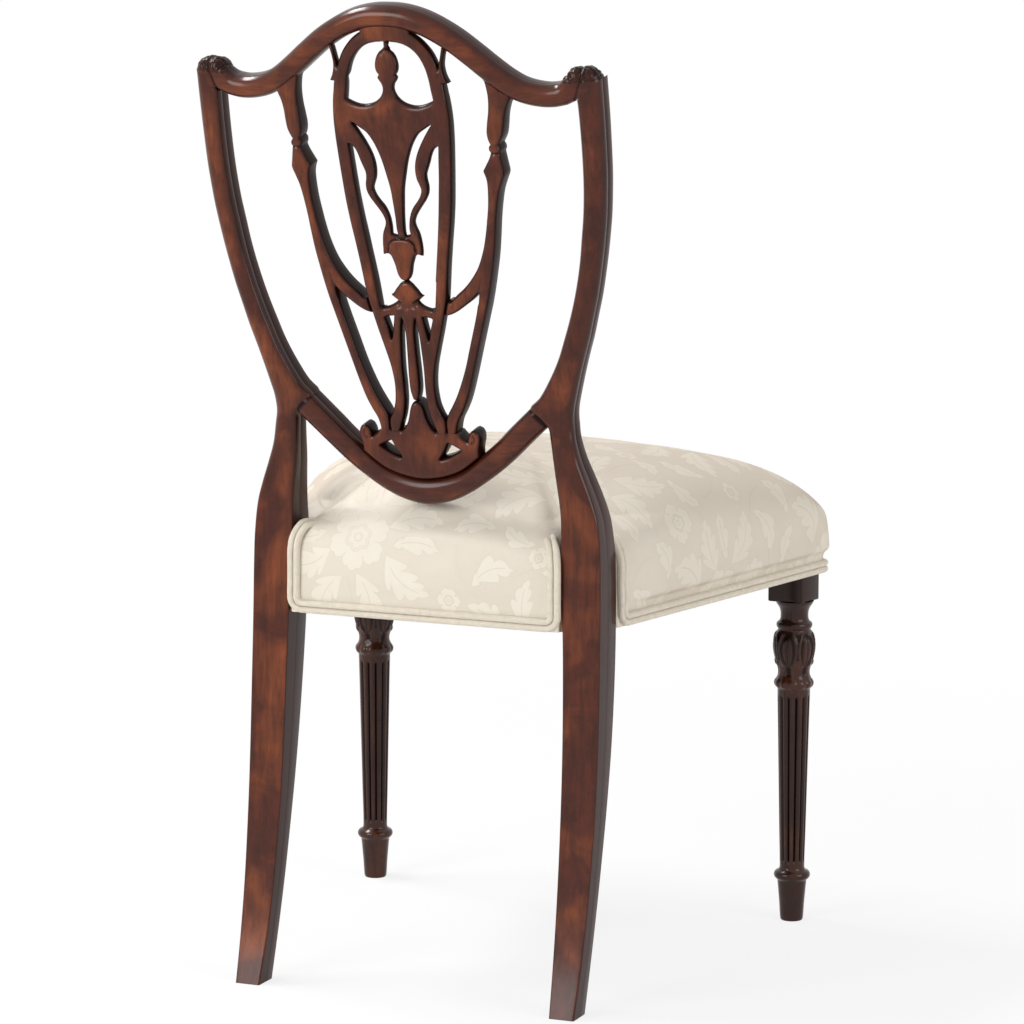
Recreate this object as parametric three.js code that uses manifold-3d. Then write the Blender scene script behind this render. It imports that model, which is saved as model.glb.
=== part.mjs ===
// Shield back side chair with an upholstered seat, in millimetres, +Z up.
// +X is the sitter's left, -Y is the front of the chair.
import * as THREE from 'three';
import { mergeVertices } from 'three/addons/utils/BufferGeometryUtils.js';
import Module from 'manifold-3d';

const wasm = await Module();
wasm.setup();

// Clearances that every seat, joint and cut uses
const jointGap = 0.3;
const cutOverrun = 4;
const weldTolerance = 1e-4;
const straightTolerance = 1e-3;

// Shield back: the height of its crest, its span, its lean and the hollow it makes in plan
const crestTopHeight = 985;
const shieldHalfSpan = 200;
const rakeAngle = THREE.MathUtils.degToRad(11.5);
const bowRadius = 1500;
const backFootDepth = 183.3;

// Section of the shield's frame: depth from back to front, and its rounded edges
const frameDepth = 27;
const frameRounding = 6;
const frontEdgeEase = 1.5;
const crestFace = 21.5;

// The splat is cut from a thinner board than the side bars and the shoe
const splatThickness = 14;
const barThickness = 20;
const shoeTopShare = 0.154;
const splatTenonLength = 9;
const backTenonThickness = 7;
const crestTenonHalfWidth = 14;
const barTenonWidth = 13;

// Loose pins of the shield's corner joints
const pinRadius = 3;
const pinHalfLength = 9;
const pinSides = 16;

// Rear leg below the shield: its greatest depth, and the run over which its moulding fades
const rearLegDepth = 43.6;
const legEdgeEase = 1.5;
const legMouldingRun = 112;

// Seat frame: four rails tenoned into the legs
const railBottomHeight = 372;
const railHeight = 66;
const railThickness = 24;
const railTopHeight = railBottomHeight + railHeight;
const tenonLength = 16;
const tenonThickness = 9;
const tenonHeight = 44;

// Seat plan, measured on the outside of the cover at its bottom edge. Its rear fits round the legs.
const seatRearSpanShare = 0.72;
const seatNotchSpanShare = 0.9375;
const seatNotchDepthShare = 0.975;
const seatRearProud = 3.7;
const seatRearHalfWidth = seatRearSpanShare * shieldHalfSpan;
const seatNotchHalfWidth = seatNotchSpanShare * shieldHalfSpan;
const seatRearDepth = backFootDepth + seatRearProud;
const seatNotchDepth = backFootDepth - seatNotchDepthShare * rearLegDepth;
const seatFrontHalfWidth = 271;
const seatFrontDepth = -244;
const seatFrontBow = 8;
const seatCornerReach = 17;
const cornerSteps = 4;
const coverThickness = 2.5;
const coverLiningGap = 1.5;

// Crown of the seat over its rails
const crownRise = 83;
const crownHeight = railTopHeight + crownRise;
const crownMeanReach = 205;
const sideBulge = 8.4;
const bulgeRun = 60;

// The shield's foot hangs a little below the top of the crown
const shieldFootDrop = 36;
const shieldFootHeight = crownHeight - shieldFootDrop;
const shieldHeight = crestTopHeight - shieldFootHeight;
const shoeTopHeight = shieldFootHeight + shoeTopShare * shieldHeight;

// Front leg: square block, turned and carved neck, fluted shaft, ring and foot
const blockWidth = 37;
const blockDrop = 29;
const blockBottomHeight = railBottomHeight - blockDrop;
const blockCornerEase = 5;
const legSides = 48;
const fluteCount = 12;
const fluteDepth = 1.7;
const footRadius = 11.8;
const lowerRingRadius = 19;
const shaftBottomRadius = 13;
const shaftTopRadius = 17.2;
const collarRadius = 20.5;
const waistRadius = 16.8;
const bulbRadius = 22.5;
const neckRingRadius = 18.7;
const neckRadius = 15;
const ringHalfHeight = 4;

// Heights of the turned leg's parts, as shares of the height under its block
const turnedShares = {
  foot: 0.125, lowerRing: 0.143, shaftBottom: 0.166, shaftTop: 0.729, collar: 0.746,
  waist: 0.781, bulb: 0.863, neckRing: 0.924, neck: 0.953,
};
const footHeight = turnedShares.foot * blockBottomHeight;
const lowerRingHeight = turnedShares.lowerRing * blockBottomHeight;
const shaftBottomHeight = turnedShares.shaftBottom * blockBottomHeight;
const shaftTopHeight = turnedShares.shaftTop * blockBottomHeight;
const collarHeight = turnedShares.collar * blockBottomHeight;
const waistHeight = turnedShares.waist * blockBottomHeight;
const bulbHeight = turnedShares.bulb * blockBottomHeight;
const neckRingHeight = turnedShares.neckRing * blockBottomHeight;
const neckHeight = turnedShares.neck * blockBottomHeight;

// Corner braces and their screws
const braceHeight = 42;
const braceRise = 14;
const braceBottomHeight = railBottomHeight + braceRise;
const frontBraceLength = 90;
const frontBraceFoot = 40;
const braceSetback = 75;
const rearBraceLength = 75;
const rearBraceFoot = 36;
const screwHeadRadius = 4;
const screwHeadHeight = 2.6;
const screwShankRadius = 2.1;
const screwLength = 34;
const screwSides = 12;
const screwSink = 3;

// Webbing, hessian and under cloth
const webbingWidth = 50;
const webbingThickness = 1.5;
const webbingPitchAcross = 82;
const webbingPitchAlong = 98;
const webbingLap = 17;
const hessianThickness = 1;
const underClothThickness = 1;
const underClothInset = 12;

// Double welt that trims the cover
const weltWidth = 13;
const weltProud = 4.6;
const weltCornerRadius = 9;
const weltTurnSteps = 3;
const rearWeltOverhang = 3;
const rearWeltRise = 30;
const sideWeltRise = 17;
const rearWeltTopHeight = railTopHeight + rearWeltRise;
const sideWeltTopHeight = railTopHeight + sideWeltRise;

// Finishes
const mahogany = { color: 0x4a2318, roughness: 0.35, metalness: 0 };
const beech = { color: 0xb08a5c, roughness: 0.7, metalness: 0 };
const damask = { color: 0xd9c9aa, roughness: 0.8, metalness: 0 };
const weltCord = { color: 0xe2d5b8, roughness: 0.85, metalness: 0 };
const hessian = { color: 0x8f744c, roughness: 0.95, metalness: 0 };
const foamStuffing = { color: 0xe8dcb4, roughness: 0.9, metalness: 0 };
const blackCloth = { color: 0x1c1b1a, roughness: 0.95, metalness: 0 };
const steel = { color: 0x8b8d90, roughness: 0.4, metalness: 0.9 };

// Outlines of the back. Each point is [share of the half span, share of the shield's height].

const crestUndersideShares = [
  [0, 0.945], [0.06, 0.944], [0.115, 0.94], [0.17, 0.933], [0.225, 0.923], [0.31, 0.903], [0.4, 0.876],
  [0.485, 0.849], [0.565, 0.826], [0.65, 0.809], [0.75, 0.8005], [0.825, 0.8005], [0.885, 0.8055],
];
const earInnerCornerShares = [0.9375, 0.815];
const earOuterCornerShares = [1.057, 0.856];
const earTopShares = [
  [0.855, 0.848], [0.885, 0.859], [0.92, 0.872], [0.965, 0.876], [1.01, 0.873], [1.045, 0.865],
];

const stileOuterShares = [
  [0.7935, 0.19], [0.8, 0.21], [0.8125, 0.23], [0.84, 0.27], [0.87, 0.31], [0.9025, 0.35], [0.93, 0.39],
  [0.9575, 0.43], [0.98, 0.47], [1, 0.51], [1.0175, 0.55], [1.0325, 0.59], [1.0425, 0.63], [1.05, 0.67],
  [1.055, 0.73], [1.0575, 0.79],
];
const stileInnerShares = [
  [0.63, 0.19], [0.5825, 0.209], [0.6325, 0.23], [0.695, 0.27], [0.745, 0.31], [0.7825, 0.35],
  [0.8175, 0.39], [0.8475, 0.43], [0.8725, 0.47], [0.8925, 0.51], [0.9075, 0.55], [0.9225, 0.59],
  [0.9325, 0.63], [0.9385, 0.67], [0.9415, 0.73], [0.94, 0.79],
];

// Lower rail, from the middle to the joint with the stile
const lowerRailUpperShares = [
  [0, 0.057], [0.1, 0.062], [0.2, 0.076], [0.31, 0.108], [0.4, 0.139], [0.45, 0.159], [0.5, 0.178],
  [0.5825, 0.209],
];
const lowerRailLowerShares = [
  [0, 0.001], [0.115, 0.009], [0.22, 0.027], [0.34, 0.058], [0.44, 0.089], [0.51, 0.115], [0.575, 0.14],
  [0.6675, 0.174],
];

// Rear leg, row by row: shares of the height under the shield's joint, of the half span at its
// outer and inner face, of the leg's depth behind the shield's foot and through, and of the lean
const rearLegShares = [
  [0, 0.916, 0.7845, 1.328, 0.711, 0], [0.0875, 0.9235, 0.7735, 0.979, 0.642, 0],
  [0.175, 0.9295, 0.7655, 0.704, 0.642, 0], [0.2625, 0.9345, 0.76, 0.498, 0.688, 0],
  [0.35, 0.938, 0.7555, 0.337, 0.768, 0], [0.4375, 0.94, 0.752, 0.222, 0.86, 0],
  [0.525, 0.9395, 0.7475, 0.142, 0.94, 0], [0.6125, 0.9375, 0.7415, 0.08, 0.993, 0],
  [0.665, 0.936, 0.7365, 0.053, 1, 0], [0.735, 0.934, 0.729, 0.023, 0.986, 0],
  [0.785, 0.93, 0.7225, 0, 0.947, 0], [0.84, 0.915, 0.72, 0.014, 0.872, 0.2],
  [0.875, 0.8875, 0.71, 0.044, 0.803, 0.45], [0.91, 0.852, 0.696, 0.092, 0.734, 0.7],
  [0.945, 0.8185, 0.685, 0.154, 0.665, 0.9], [0.98, 0.8, 0.675, 0.22, 0.619, 1],
];
const legCrotchShares = [[0.7935, 0.174], [0.6675, 0.174]];
const legCrotchHeight = shieldFootHeight + legCrotchShares[0][1] * shieldHeight;

// Splat outline from the crest down to the foot of the lyre
const splatArchShares = [[0.165, 0.9286], [0.2, 0.916], [0.235, 0.898], [0.2625, 0.872]];
const splatSideShares = [
  [0.2925, 0.89], [0.2865, 0.874], [0.294, 0.856], [0.31, 0.843], [0.2875, 0.8416], [0.2925, 0.826],
  [0.3, 0.806], [0.306, 0.774], [0.305, 0.74], [0.299, 0.7], [0.29, 0.654], [0.28, 0.61],
  [0.2665, 0.57], [0.25, 0.53], [0.2325, 0.484], [0.2165, 0.436], [0.2075, 0.414], [0.1915, 0.39],
  [0.1675, 0.354], [0.14, 0.316], [0.119, 0.284], [0.108, 0.252], [0.1085, 0.23], [0.116, 0.208],
  [0.1325, 0.19], [0.15, 0.177],
];
const lyreFootShares = { outer: 0.15, inner: 0.098 };
const lyreInnerShares = [
  [0.085, 0.168], [0.069, 0.186], [0.0575, 0.21], [0.054, 0.24], [0.055, 0.28], [0.051, 0.32],
  [0.045, 0.354], [0.035, 0.38], [0.025, 0.354], [0.025, 0.31], [0.0275, 0.266], [0.025, 0.236],
  [0.013, 0.218], [0, 0.2165],
];
const splatTopReachShares = [0, 0.06, 0.115];
const bracketReachShares = [0.2825, 0.3025];

// Openings of the splat
const archOpeningShares = [
  [0.015, 0.919], [0.06, 0.9176], [0.1, 0.913], [0.135, 0.905], [0.165, 0.893], [0.1925, 0.874],
  [0.21, 0.852], [0.22, 0.828], [0.2275, 0.81], [0.19, 0.803], [0.15, 0.799], [0.11, 0.8],
  [0.07, 0.806], [0.0425, 0.816], [0.03, 0.829], [0.034, 0.84], [0.0475, 0.848], [0.0525, 0.853],
  [0.0475, 0.858], [0.059, 0.87], [0.059, 0.884], [0.0475, 0.897], [0.03, 0.906],
];
const vaseOpeningShares = [
  [0.205, 0.763], [0.17, 0.754], [0.135, 0.744], [0.105, 0.727], [0.085, 0.71], [0.0675, 0.69],
  [0.0525, 0.666], [0.037, 0.638], [0.0295, 0.61], [0.0235, 0.58], [0.0215, 0.544], [0.0465, 0.547],
  [0.0465, 0.566], [0.055, 0.584], [0.0725, 0.6], [0.1, 0.614], [0.1175, 0.625], [0.125, 0.636],
  [0.1175, 0.646], [0.1075, 0.656], [0.1025, 0.67], [0.105, 0.686], [0.1175, 0.704], [0.14, 0.723],
  [0.165, 0.74], [0.185, 0.752],
];
const bandOpeningShares = [
  [0.2335, 0.722], [0.2275, 0.694], [0.2215, 0.66], [0.2125, 0.624], [0.2025, 0.586], [0.1915, 0.55],
  [0.179, 0.514], [0.1665, 0.48], [0.155, 0.446], [0.144, 0.4], [0.1, 0.404], [0.07, 0.41],
  [0.055, 0.415], [0.0775, 0.423], [0.0875, 0.426], [0.0725, 0.43], [0.06, 0.437], [0.0425, 0.446],
  [0.0225, 0.453], [0.01, 0.459], [0.025, 0.466], [0.0375, 0.476], [0.045, 0.486], [0.055, 0.496],
  [0.065, 0.505], [0.0775, 0.508], [0.1025, 0.506], [0.105, 0.516], [0.1025, 0.534], [0.095, 0.55],
  [0.08, 0.565], [0.0775, 0.573], [0.0875, 0.584], [0.105, 0.595], [0.1275, 0.607], [0.1475, 0.618],
  [0.1625, 0.631], [0.165, 0.644], [0.156, 0.656], [0.1515, 0.669], [0.1575, 0.68], [0.1725, 0.692],
  [0.185, 0.705], [0.205, 0.716],
];
const lyreEyeShares = [[0.125, 0.381], [0.0775, 0.385], [0.085, 0.366], [0.099, 0.34], [0.11, 0.36]];

// Side bar with its swag arm, from the crest down to the shoe
const barInnerShares = [
  [0.4925, 0.836], [0.499, 0.816], [0.4975, 0.792], [0.49, 0.77], [0.485, 0.75], [0.49, 0.737],
  [0.499, 0.729], [0.491, 0.725], [0.491, 0.717], [0.4965, 0.712], [0.4875, 0.702], [0.4675, 0.688],
  [0.451, 0.677], [0.46, 0.668], [0.4665, 0.656], [0.4665, 0.636], [0.4615, 0.61], [0.4515, 0.584],
  [0.4365, 0.552], [0.4175, 0.522], [0.385, 0.489], [0.35, 0.467], [0.31, 0.448], [0.265, 0.432],
  [0.229, 0.4195],
];
const swagEndShares = [[0.2117, 0.4186], [0.1936, 0.389]];
const swagLowerShares = [[0.225, 0.392], [0.26, 0.399], [0.3, 0.41], [0.34, 0.422], [0.3775, 0.437]];
const barLowerInnerShares = [
  [0.365, 0.41], [0.345, 0.38], [0.3225, 0.35], [0.3, 0.32], [0.2775, 0.29], [0.25, 0.26],
  [0.2175, 0.23], [0.1875, 0.208], [0.1625, 0.191], [0.152, 0.178],
];
const barFootShares = { inner: 0.152, outer: 0.209 };
const barOuterShares = [
  [0.22, 0.176], [0.2425, 0.194], [0.265, 0.214], [0.2875, 0.238], [0.31, 0.266], [0.3325, 0.296],
  [0.355, 0.326], [0.3775, 0.356], [0.4, 0.386], [0.4225, 0.416], [0.4435, 0.45], [0.46, 0.48],
  [0.475, 0.51], [0.4875, 0.544], [0.499, 0.58], [0.5125, 0.612], [0.5275, 0.638], [0.545, 0.656],
  [0.56, 0.672], [0.5565, 0.684], [0.55, 0.7], [0.5465, 0.712], [0.5515, 0.717], [0.55, 0.723],
  [0.5425, 0.728], [0.5525, 0.735], [0.565, 0.746], [0.574, 0.764], [0.5815, 0.784], [0.595, 0.802],
];
const barTopShares = [0.484, 0.565, 0.6125];

// Shoe between the splat and the lower rail, with a dome and a scroll at each end
const domeShares = [
  [0, 0.215], [0.015, 0.213], [0.0275, 0.207], [0.0375, 0.197], [0.045, 0.185], [0.055, 0.173],
  [0.07, 0.163], [0.085, 0.157],
];
const scrollShares = [
  [0.23, 0.146], [0.255, 0.14], [0.26, 0.149], [0.2725, 0.158], [0.2925, 0.162], [0.3125, 0.158],
  [0.323, 0.149], [0.3215, 0.137], [0.314, 0.126],
];
const shoeSeatShares = [0.31, 0.2, 0.1];
const shoeOpeningShares = [
  [0.215, 0.121], [0.18, 0.128], [0.1525, 0.133], [0.13, 0.116], [0.1025, 0.1], [0.155, 0.107],
];

// Runs of the seat's side and front that take a point of the plan
const sideRunShares = [0.16, 0.4, 0.7];
const frontRunShares = [0.75, 0.5, 0.25, 0];

// Seat crown, row by row: shares of the height, of the plan at the sides and at the rear,
// how square the row's outline still is, and how far the side swells out
const crownShares = [
  [0, 1, 1, 1, 0], [0.094, 1, 1, 1, 0], [0.2, 1, 1, 1, 0.92], [0.3, 1, 1, 0.99, 1],
  [0.45, 0.998, 1, 0.97, 0.76], [0.6, 0.96, 0.985, 0.92, 0.9], [0.72, 0.905, 0.885, 0.84, 0.92],
  [0.825, 0.83, 0.78, 0.71, 0.76], [0.905, 0.72, 0.69, 0.56, 0.58], [0.965, 0.555, 0.555, 0.35, 0.34],
  [0.992, 0.34, 0.34, 0.13, 0.1], [1, 0.1, 0.1, 0, 0],
];
const foamStart = 5;

// Section of the double welt: [share of its half width, share of how far it stands out]
const weltSectionShares = [
  [-1, 0], [-0.925, 0.75], [-0.5, 1], [-0.125, 0.72], [0, 0.5], [0.125, 0.72], [0.5, 1], [0.925, 0.75],
  [1, 0],
];

// Places of the two screws along a corner brace
const screwShares = [0.28, 0.72];

// Turns the faces of a closed mesh outward
function outward(geometry) {
  const position = geometry.attributes.position;
  const index = Array.from(geometry.index.array);
  const corners = [new THREE.Vector3(), new THREE.Vector3(), new THREE.Vector3()];
  let volume = 0;
  for (let i = 0; i < index.length; i += 3) {
    corners.forEach((corner, k) => corner.fromBufferAttribute(position, index[i + k]));
    volume += corners[0].dot(corners[1].clone().cross(corners[2]));
  }
  if (volume < 0) {
    for (let i = 0; i < index.length; i += 3) {
      [index[i], index[i + 1]] = [index[i + 1], index[i]];
    }
  }
  geometry.setIndex(index);
  geometry.computeVertexNormals();
  return geometry;
}

// Skins a row of closed rings that have the same number of points, and caps both ends
function loft(rings) {
  const count = rings[0].length;
  const points = rings.flat();
  const index = [];
  for (let i = 0; i < rings.length - 1; i += 1) {
    for (let j = 0; j < count; j += 1) {
      const a = i * count + j;
      const b = i * count + (j + 1) % count;
      index.push(a, b, a + count, b, b + count, a + count);
    }
  }
  const ends = [[rings[0], 0, false], [rings.at(-1), (rings.length - 1) * count, true]];
  for (const [ring, start, last] of ends) {
    const centre = new THREE.Vector3();
    ring.forEach((point) => centre.addScaledVector(point, 1 / count));
    const middle = points.push(centre) - 1;
    for (let j = 0; j < count; j += 1) {
      const a = start + j;
      const b = start + (j + 1) % count;
      index.push(...(last ? [a, b, middle] : [b, a, middle]));
    }
  }
  const geometry = new THREE.BufferGeometry().setFromPoints(points);
  geometry.setIndex(index);
  return outward(geometry);
}

// A closed mesh as a solid that can be joined and cut
function toSolid(geometry) {
  const bare = geometry.clone();
  bare.deleteAttribute('normal');
  bare.deleteAttribute('uv');
  const merged = mergeVertices(bare, weldTolerance);
  const vertProperties = new Float32Array(merged.attributes.position.array);
  const triVerts = new Uint32Array(merged.index.array);
  return new wasm.Manifold(new wasm.Mesh({ numProp: 3, vertProperties, triVerts }));
}

function toGeometry(solid) {
  const mesh = solid.getMesh();
  const geometry = new THREE.BufferGeometry();
  geometry.setAttribute('position', new THREE.BufferAttribute(mesh.vertProperties, 3));
  geometry.setIndex(new THREE.BufferAttribute(mesh.triVerts, 1));
  geometry.computeVertexNormals();
  return geometry;
}

// Joins pieces of one solid, then cuts the given shapes out of it
function shape(geometry, joined = [], cuts = []) {
  let solid = toSolid(geometry);
  for (const piece of joined) {
    solid = solid.add(toSolid(piece));
  }
  for (const piece of cuts) {
    solid = solid.subtract(toSolid(piece));
  }
  return toGeometry(solid);
}

function piece(name, geometry, finish) {
  const mesh = new THREE.Mesh(geometry, new THREE.MeshStandardMaterial(finish));
  mesh.name = name;
  return mesh;
}

// A point of the shield in its flat plane, from its two shares
function flat([spanShare, heightShare]) {
  return new THREE.Vector2(spanShare * shieldHalfSpan, shieldFootHeight + heightShare * shieldHeight);
}

// Bends a flat point of the shield onto the leaning, hollow back, at a depth in front of its rear face
function onBack(x, z, depth) {
  const rise = z - shieldFootHeight;
  const rear = backFootDepth + Math.tan(rakeAngle) * rise - x * x / (2 * bowRadius);
  return new THREE.Vector3(x, rear - depth * Math.cos(rakeAngle), z + depth * Math.sin(rakeAngle));
}

// Height of a chain of points at x, straight between its points
function heightAt(points, x) {
  const next = Math.max(1, points.findIndex((point) => point.x >= x));
  const start = points[next - 1];
  const end = points[next];
  return THREE.MathUtils.mapLinear(x, start.x, end.x, start.y, end.y);
}

const crestUnderside = [...crestUndersideShares, earInnerCornerShares].map(flat);
const lowerRailUpper = lowerRailUpperShares.map(flat);
const lowerRailLower = lowerRailLowerShares.map(flat);

// Section of a moulded member between two flat edge points: rounded behind, eased in front
function mouldedSection(from, to, depth, rounding, ease) {
  const width = from.distanceTo(to);
  const soft = rounding * (1 - Math.SQRT1_2);
  const places = [
    [ease, depth], [0, depth - ease], [0, rounding], [soft, soft], [rounding, 0],
    [width - rounding, 0], [width - soft, soft], [width, rounding],
    [width, depth - ease], [width - ease, depth],
  ];
  return places.map(([across, into]) => [from.clone().lerp(to, across / width), into]);
}

function mouldedRing(from, to, side) {
  const section = mouldedSection(from, to, frameDepth, frameRounding, frontEdgeEase);
  return section.map(([point, into]) => onBack(side * point.x, point.y, into));
}

// Upper edge of the crest: parallel to its underside, then round the top of the ear
function crestPairs() {
  const pairs = crestUndersideShares.map(flat).map((lower, i) => {
    const before = crestUnderside[Math.max(0, i - 1)];
    const after = crestUnderside[i + 1];
    const along = after.clone().sub(before).normalize();
    if (i === 0) {
      along.set(1, 0);
    }
    const across = new THREE.Vector2(-along.y, along.x);
    return [lower, lower.clone().addScaledVector(across, crestFace)];
  });
  const start = pairs.pop()[0];
  const corner = flat(earInnerCornerShares);
  const ear = [...earTopShares, earOuterCornerShares].map(flat);
  ear.forEach((top, i) => pairs.push([start.clone().lerp(corner, i / (ear.length - 1)), top]));
  return pairs;
}

function crestRail() {
  const pairs = crestPairs();
  const left = pairs.map(([lower, upper]) => mouldedRing(lower, upper, 1));
  const right = pairs.slice(1).map(([lower, upper]) => mouldedRing(lower, upper, -1));
  const body = loft([...right.reverse(), ...left]);
  const mortises = [splatTenon(jointGap)];
  for (const side of [-1, 1]) {
    mortises.push(barTenon(side, jointGap), crestPin(side, jointGap));
  }
  return shape(body, [], mortises);
}

function lowerRail() {
  const ends = [lowerRailUpper.at(-1), lowerRailLower.at(-1)];
  const inward = new THREE.Vector2(-1, -1).setLength(jointGap);
  const pairs = lowerRailUpper.map((upper, i) => [lowerRailLower[i].clone(), upper.clone()]);
  pairs.at(-1)[0] = ends[1].clone().add(inward);
  pairs.at(-1)[1] = ends[0].clone().add(inward);
  const left = pairs.map(([lower, upper]) => mouldedRing(lower, upper, 1));
  const right = pairs.slice(1).map(([lower, upper]) => mouldedRing(lower, upper, -1));
  const body = loft([...right.reverse(), ...left]);
  const holes = [-1, 1].map((side) => lowerPin(side, jointGap));
  return shape(body, [], holes);
}

// A round pin across a joint of the shield, through the middle of its depth
function jointPin(from, to, side, clearance) {
  const middle = from.clone().lerp(to, 0.5);
  const along = to.clone().sub(from).normalize();
  const across = new THREE.Vector2(-along.y, along.x);
  const half = pinHalfLength + clearance;
  const ends = [-half, half].map((reach) => {
    const point = middle.clone().addScaledVector(across, reach);
    return onBack(side * point.x, point.y, frameDepth / 2);
  });
  return rod(ends[0], ends[1], pinRadius + clearance, pinSides);
}

function crestPin(side, clearance) {
  return jointPin(flat(earInnerCornerShares), flat(earOuterCornerShares), side, clearance);
}

function lowerPin(side, clearance) {
  return jointPin(lowerRailUpper.at(-1), lowerRailLower.at(-1), side, clearance);
}

// A straight round bar between two points
function rod(start, end, radius, sides) {
  const along = end.clone().sub(start);
  const geometry = new THREE.CylinderGeometry(radius, radius, along.length(), sides);
  const upright = new THREE.Vector3(0, 1, 0);
  geometry.applyQuaternion(new THREE.Quaternion().setFromUnitVectors(upright, along.normalize()));
  const middle = start.clone().lerp(end, 0.5);
  geometry.translate(middle.x, middle.y, middle.z);
  return geometry;
}

// A tenon that rises from the splat or a bar into the crest, in the middle of its thickness
function crestTenon(centreX, halfWidth, thickness, clearance) {
  const seat = heightAt(crestUnderside, Math.abs(centreX));
  const front = (thickness + backTenonThickness) / 2 + clearance;
  const rear = (thickness - backTenonThickness) / 2 - clearance;
  const top = seat + splatTenonLength + clearance;
  const bottom = seat - splatTenonLength;
  const left = centreX - halfWidth - clearance;
  const right = centreX + halfWidth + clearance;
  const rings = [bottom, top].map((z) => [
    onBack(left, z, rear), onBack(right, z, rear), onBack(right, z, front), onBack(left, z, front),
  ]);
  return loft(rings);
}

function splatTenon(clearance) {
  return crestTenon(0, crestTenonHalfWidth, splatThickness, clearance);
}

function barTenon(side, clearance) {
  const middle = (barTopShares[0] + barTopShares.at(-1)) / 2;
  return crestTenon(side * middle * shieldHalfSpan, barTenonWidth / 2, barThickness, clearance);
}

// An outline without the points that lie on a straight line between their neighbours
function cornersOnly(points) {
  return points.filter((point, i) => {
    const before = points.at(i - 1);
    const after = points[(i + 1) % points.length];
    const arrive = point.clone().sub(before);
    const leave = after.clone().sub(point);
    return Math.abs(arrive.cross(leave)) > straightTolerance * arrive.length() * leave.length();
  });
}

function counterClockwise(points) {
  return THREE.ShapeUtils.isClockWise(points) ? [...points].reverse() : [...points];
}

// A board with the given flat outline and openings, bent onto the back
function board(outline, openings, thickness, side) {
  const face = new THREE.Shape(counterClockwise(cornersOnly(outline)));
  face.holes = openings.map((opening) => new THREE.Path(counterClockwise(cornersOnly(opening)).reverse()));
  const geometry = new THREE.ExtrudeGeometry(face, { depth: thickness, bevelEnabled: false, steps: 1 });
  geometry.deleteAttribute('normal');
  geometry.deleteAttribute('uv');
  const merged = mergeVertices(geometry, weldTolerance);
  const position = merged.attributes.position;
  for (let i = 0; i < position.count; i += 1) {
    const point = onBack(side * position.getX(i), position.getY(i), position.getZ(i));
    position.setXYZ(i, point.x, point.y, point.z);
  }
  return outward(merged);
}

// A point of a board's top edge, just under the crest
function underCrest(share) {
  const x = share * shieldHalfSpan;
  return new THREE.Vector2(x, heightAt(crestUnderside, x) - jointGap);
}

function onShoe(share) {
  return new THREE.Vector2(share * shieldHalfSpan, shoeTopHeight + jointGap);
}

function mirrored(points) {
  return points.map((point) => new THREE.Vector2(-point.x, point.y)).reverse();
}

// Left half of an outline and its mirror image, without doubling the points on the middle line
function bothHalves(half) {
  return [...half, ...mirrored(half).filter((point) => Math.abs(point.x) > weldTolerance)];
}

function centreSplat() {
  const half = [
    ...splatTopReachShares.map(underCrest),
    ...splatArchShares.map(flat),
    ...bracketReachShares.map(underCrest),
    ...splatSideShares.map(flat),
    onShoe(lyreFootShares.outer),
    onShoe(lyreFootShares.inner),
    ...lyreInnerShares.map(flat),
  ];
  const openings = [];
  for (const shares of [archOpeningShares, vaseOpeningShares, bandOpeningShares, lyreEyeShares]) {
    const opening = shares.map(flat);
    openings.push(opening, mirrored(opening));
  }
  return shape(board(bothHalves(half), openings, splatThickness, 1), [splatTenon(0)]);
}

function sideBar(side) {
  const outline = [
    underCrest(barTopShares[0]),
    ...barInnerShares.map(flat),
    ...swagEndShares.map(flat),
    ...swagLowerShares.map(flat),
    ...barLowerInnerShares.map(flat),
    onShoe(barFootShares.inner),
    onShoe(barFootShares.outer),
    ...barOuterShares.map(flat),
    underCrest(barTopShares[2]),
    underCrest(barTopShares[1]),
  ];
  return shape(board(outline, [], barThickness, side), [barTenon(side, 0)]);
}

function splatShoe() {
  const seat = shoeSeatShares.map((share) => {
    const x = share * shieldHalfSpan;
    return new THREE.Vector2(x, heightAt(lowerRailUpper, x) + jointGap);
  });
  const half = [
    ...domeShares.map(flat),
    new THREE.Vector2(lyreFootShares.inner * shieldHalfSpan, shoeTopHeight),
    new THREE.Vector2(barFootShares.outer * shieldHalfSpan, shoeTopHeight),
    ...scrollShares.map(flat),
    ...seat,
    new THREE.Vector2(0, lowerRailUpper[0].y + jointGap),
  ];
  const opening = shoeOpeningShares.map(flat);
  return board(bothHalves(half), [opening, mirrored(opening)], barThickness, 1);
}

// Ring of the rear leg below the shield, where the back's lean fades out
function legRing([heightShare, outerShare, innerShare, backShare, depthShare, leanShare], side) {
  const height = heightShare * legCrotchHeight;
  const outer = new THREE.Vector2(outerShare * shieldHalfSpan, height);
  const inner = new THREE.Vector2(innerShare * shieldHalfSpan, height);
  const moulding = THREE.MathUtils.clamp(1 - (shoeTopHeight - height) / legMouldingRun, 0, 1);
  const rounding = THREE.MathUtils.lerp(legEdgeEase, frameRounding, moulding);
  const depth = depthShare * rearLegDepth;
  const section = mouldedSection(inner, outer, depth, rounding, frontEdgeEase);
  const lean = leanShare * rakeAngle;
  return section.map(([point, into]) => new THREE.Vector3(
    side * point.x,
    backFootDepth + backShare * rearLegDepth - into * Math.cos(lean),
    point.y + into * Math.sin(lean),
  ));
}

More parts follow.
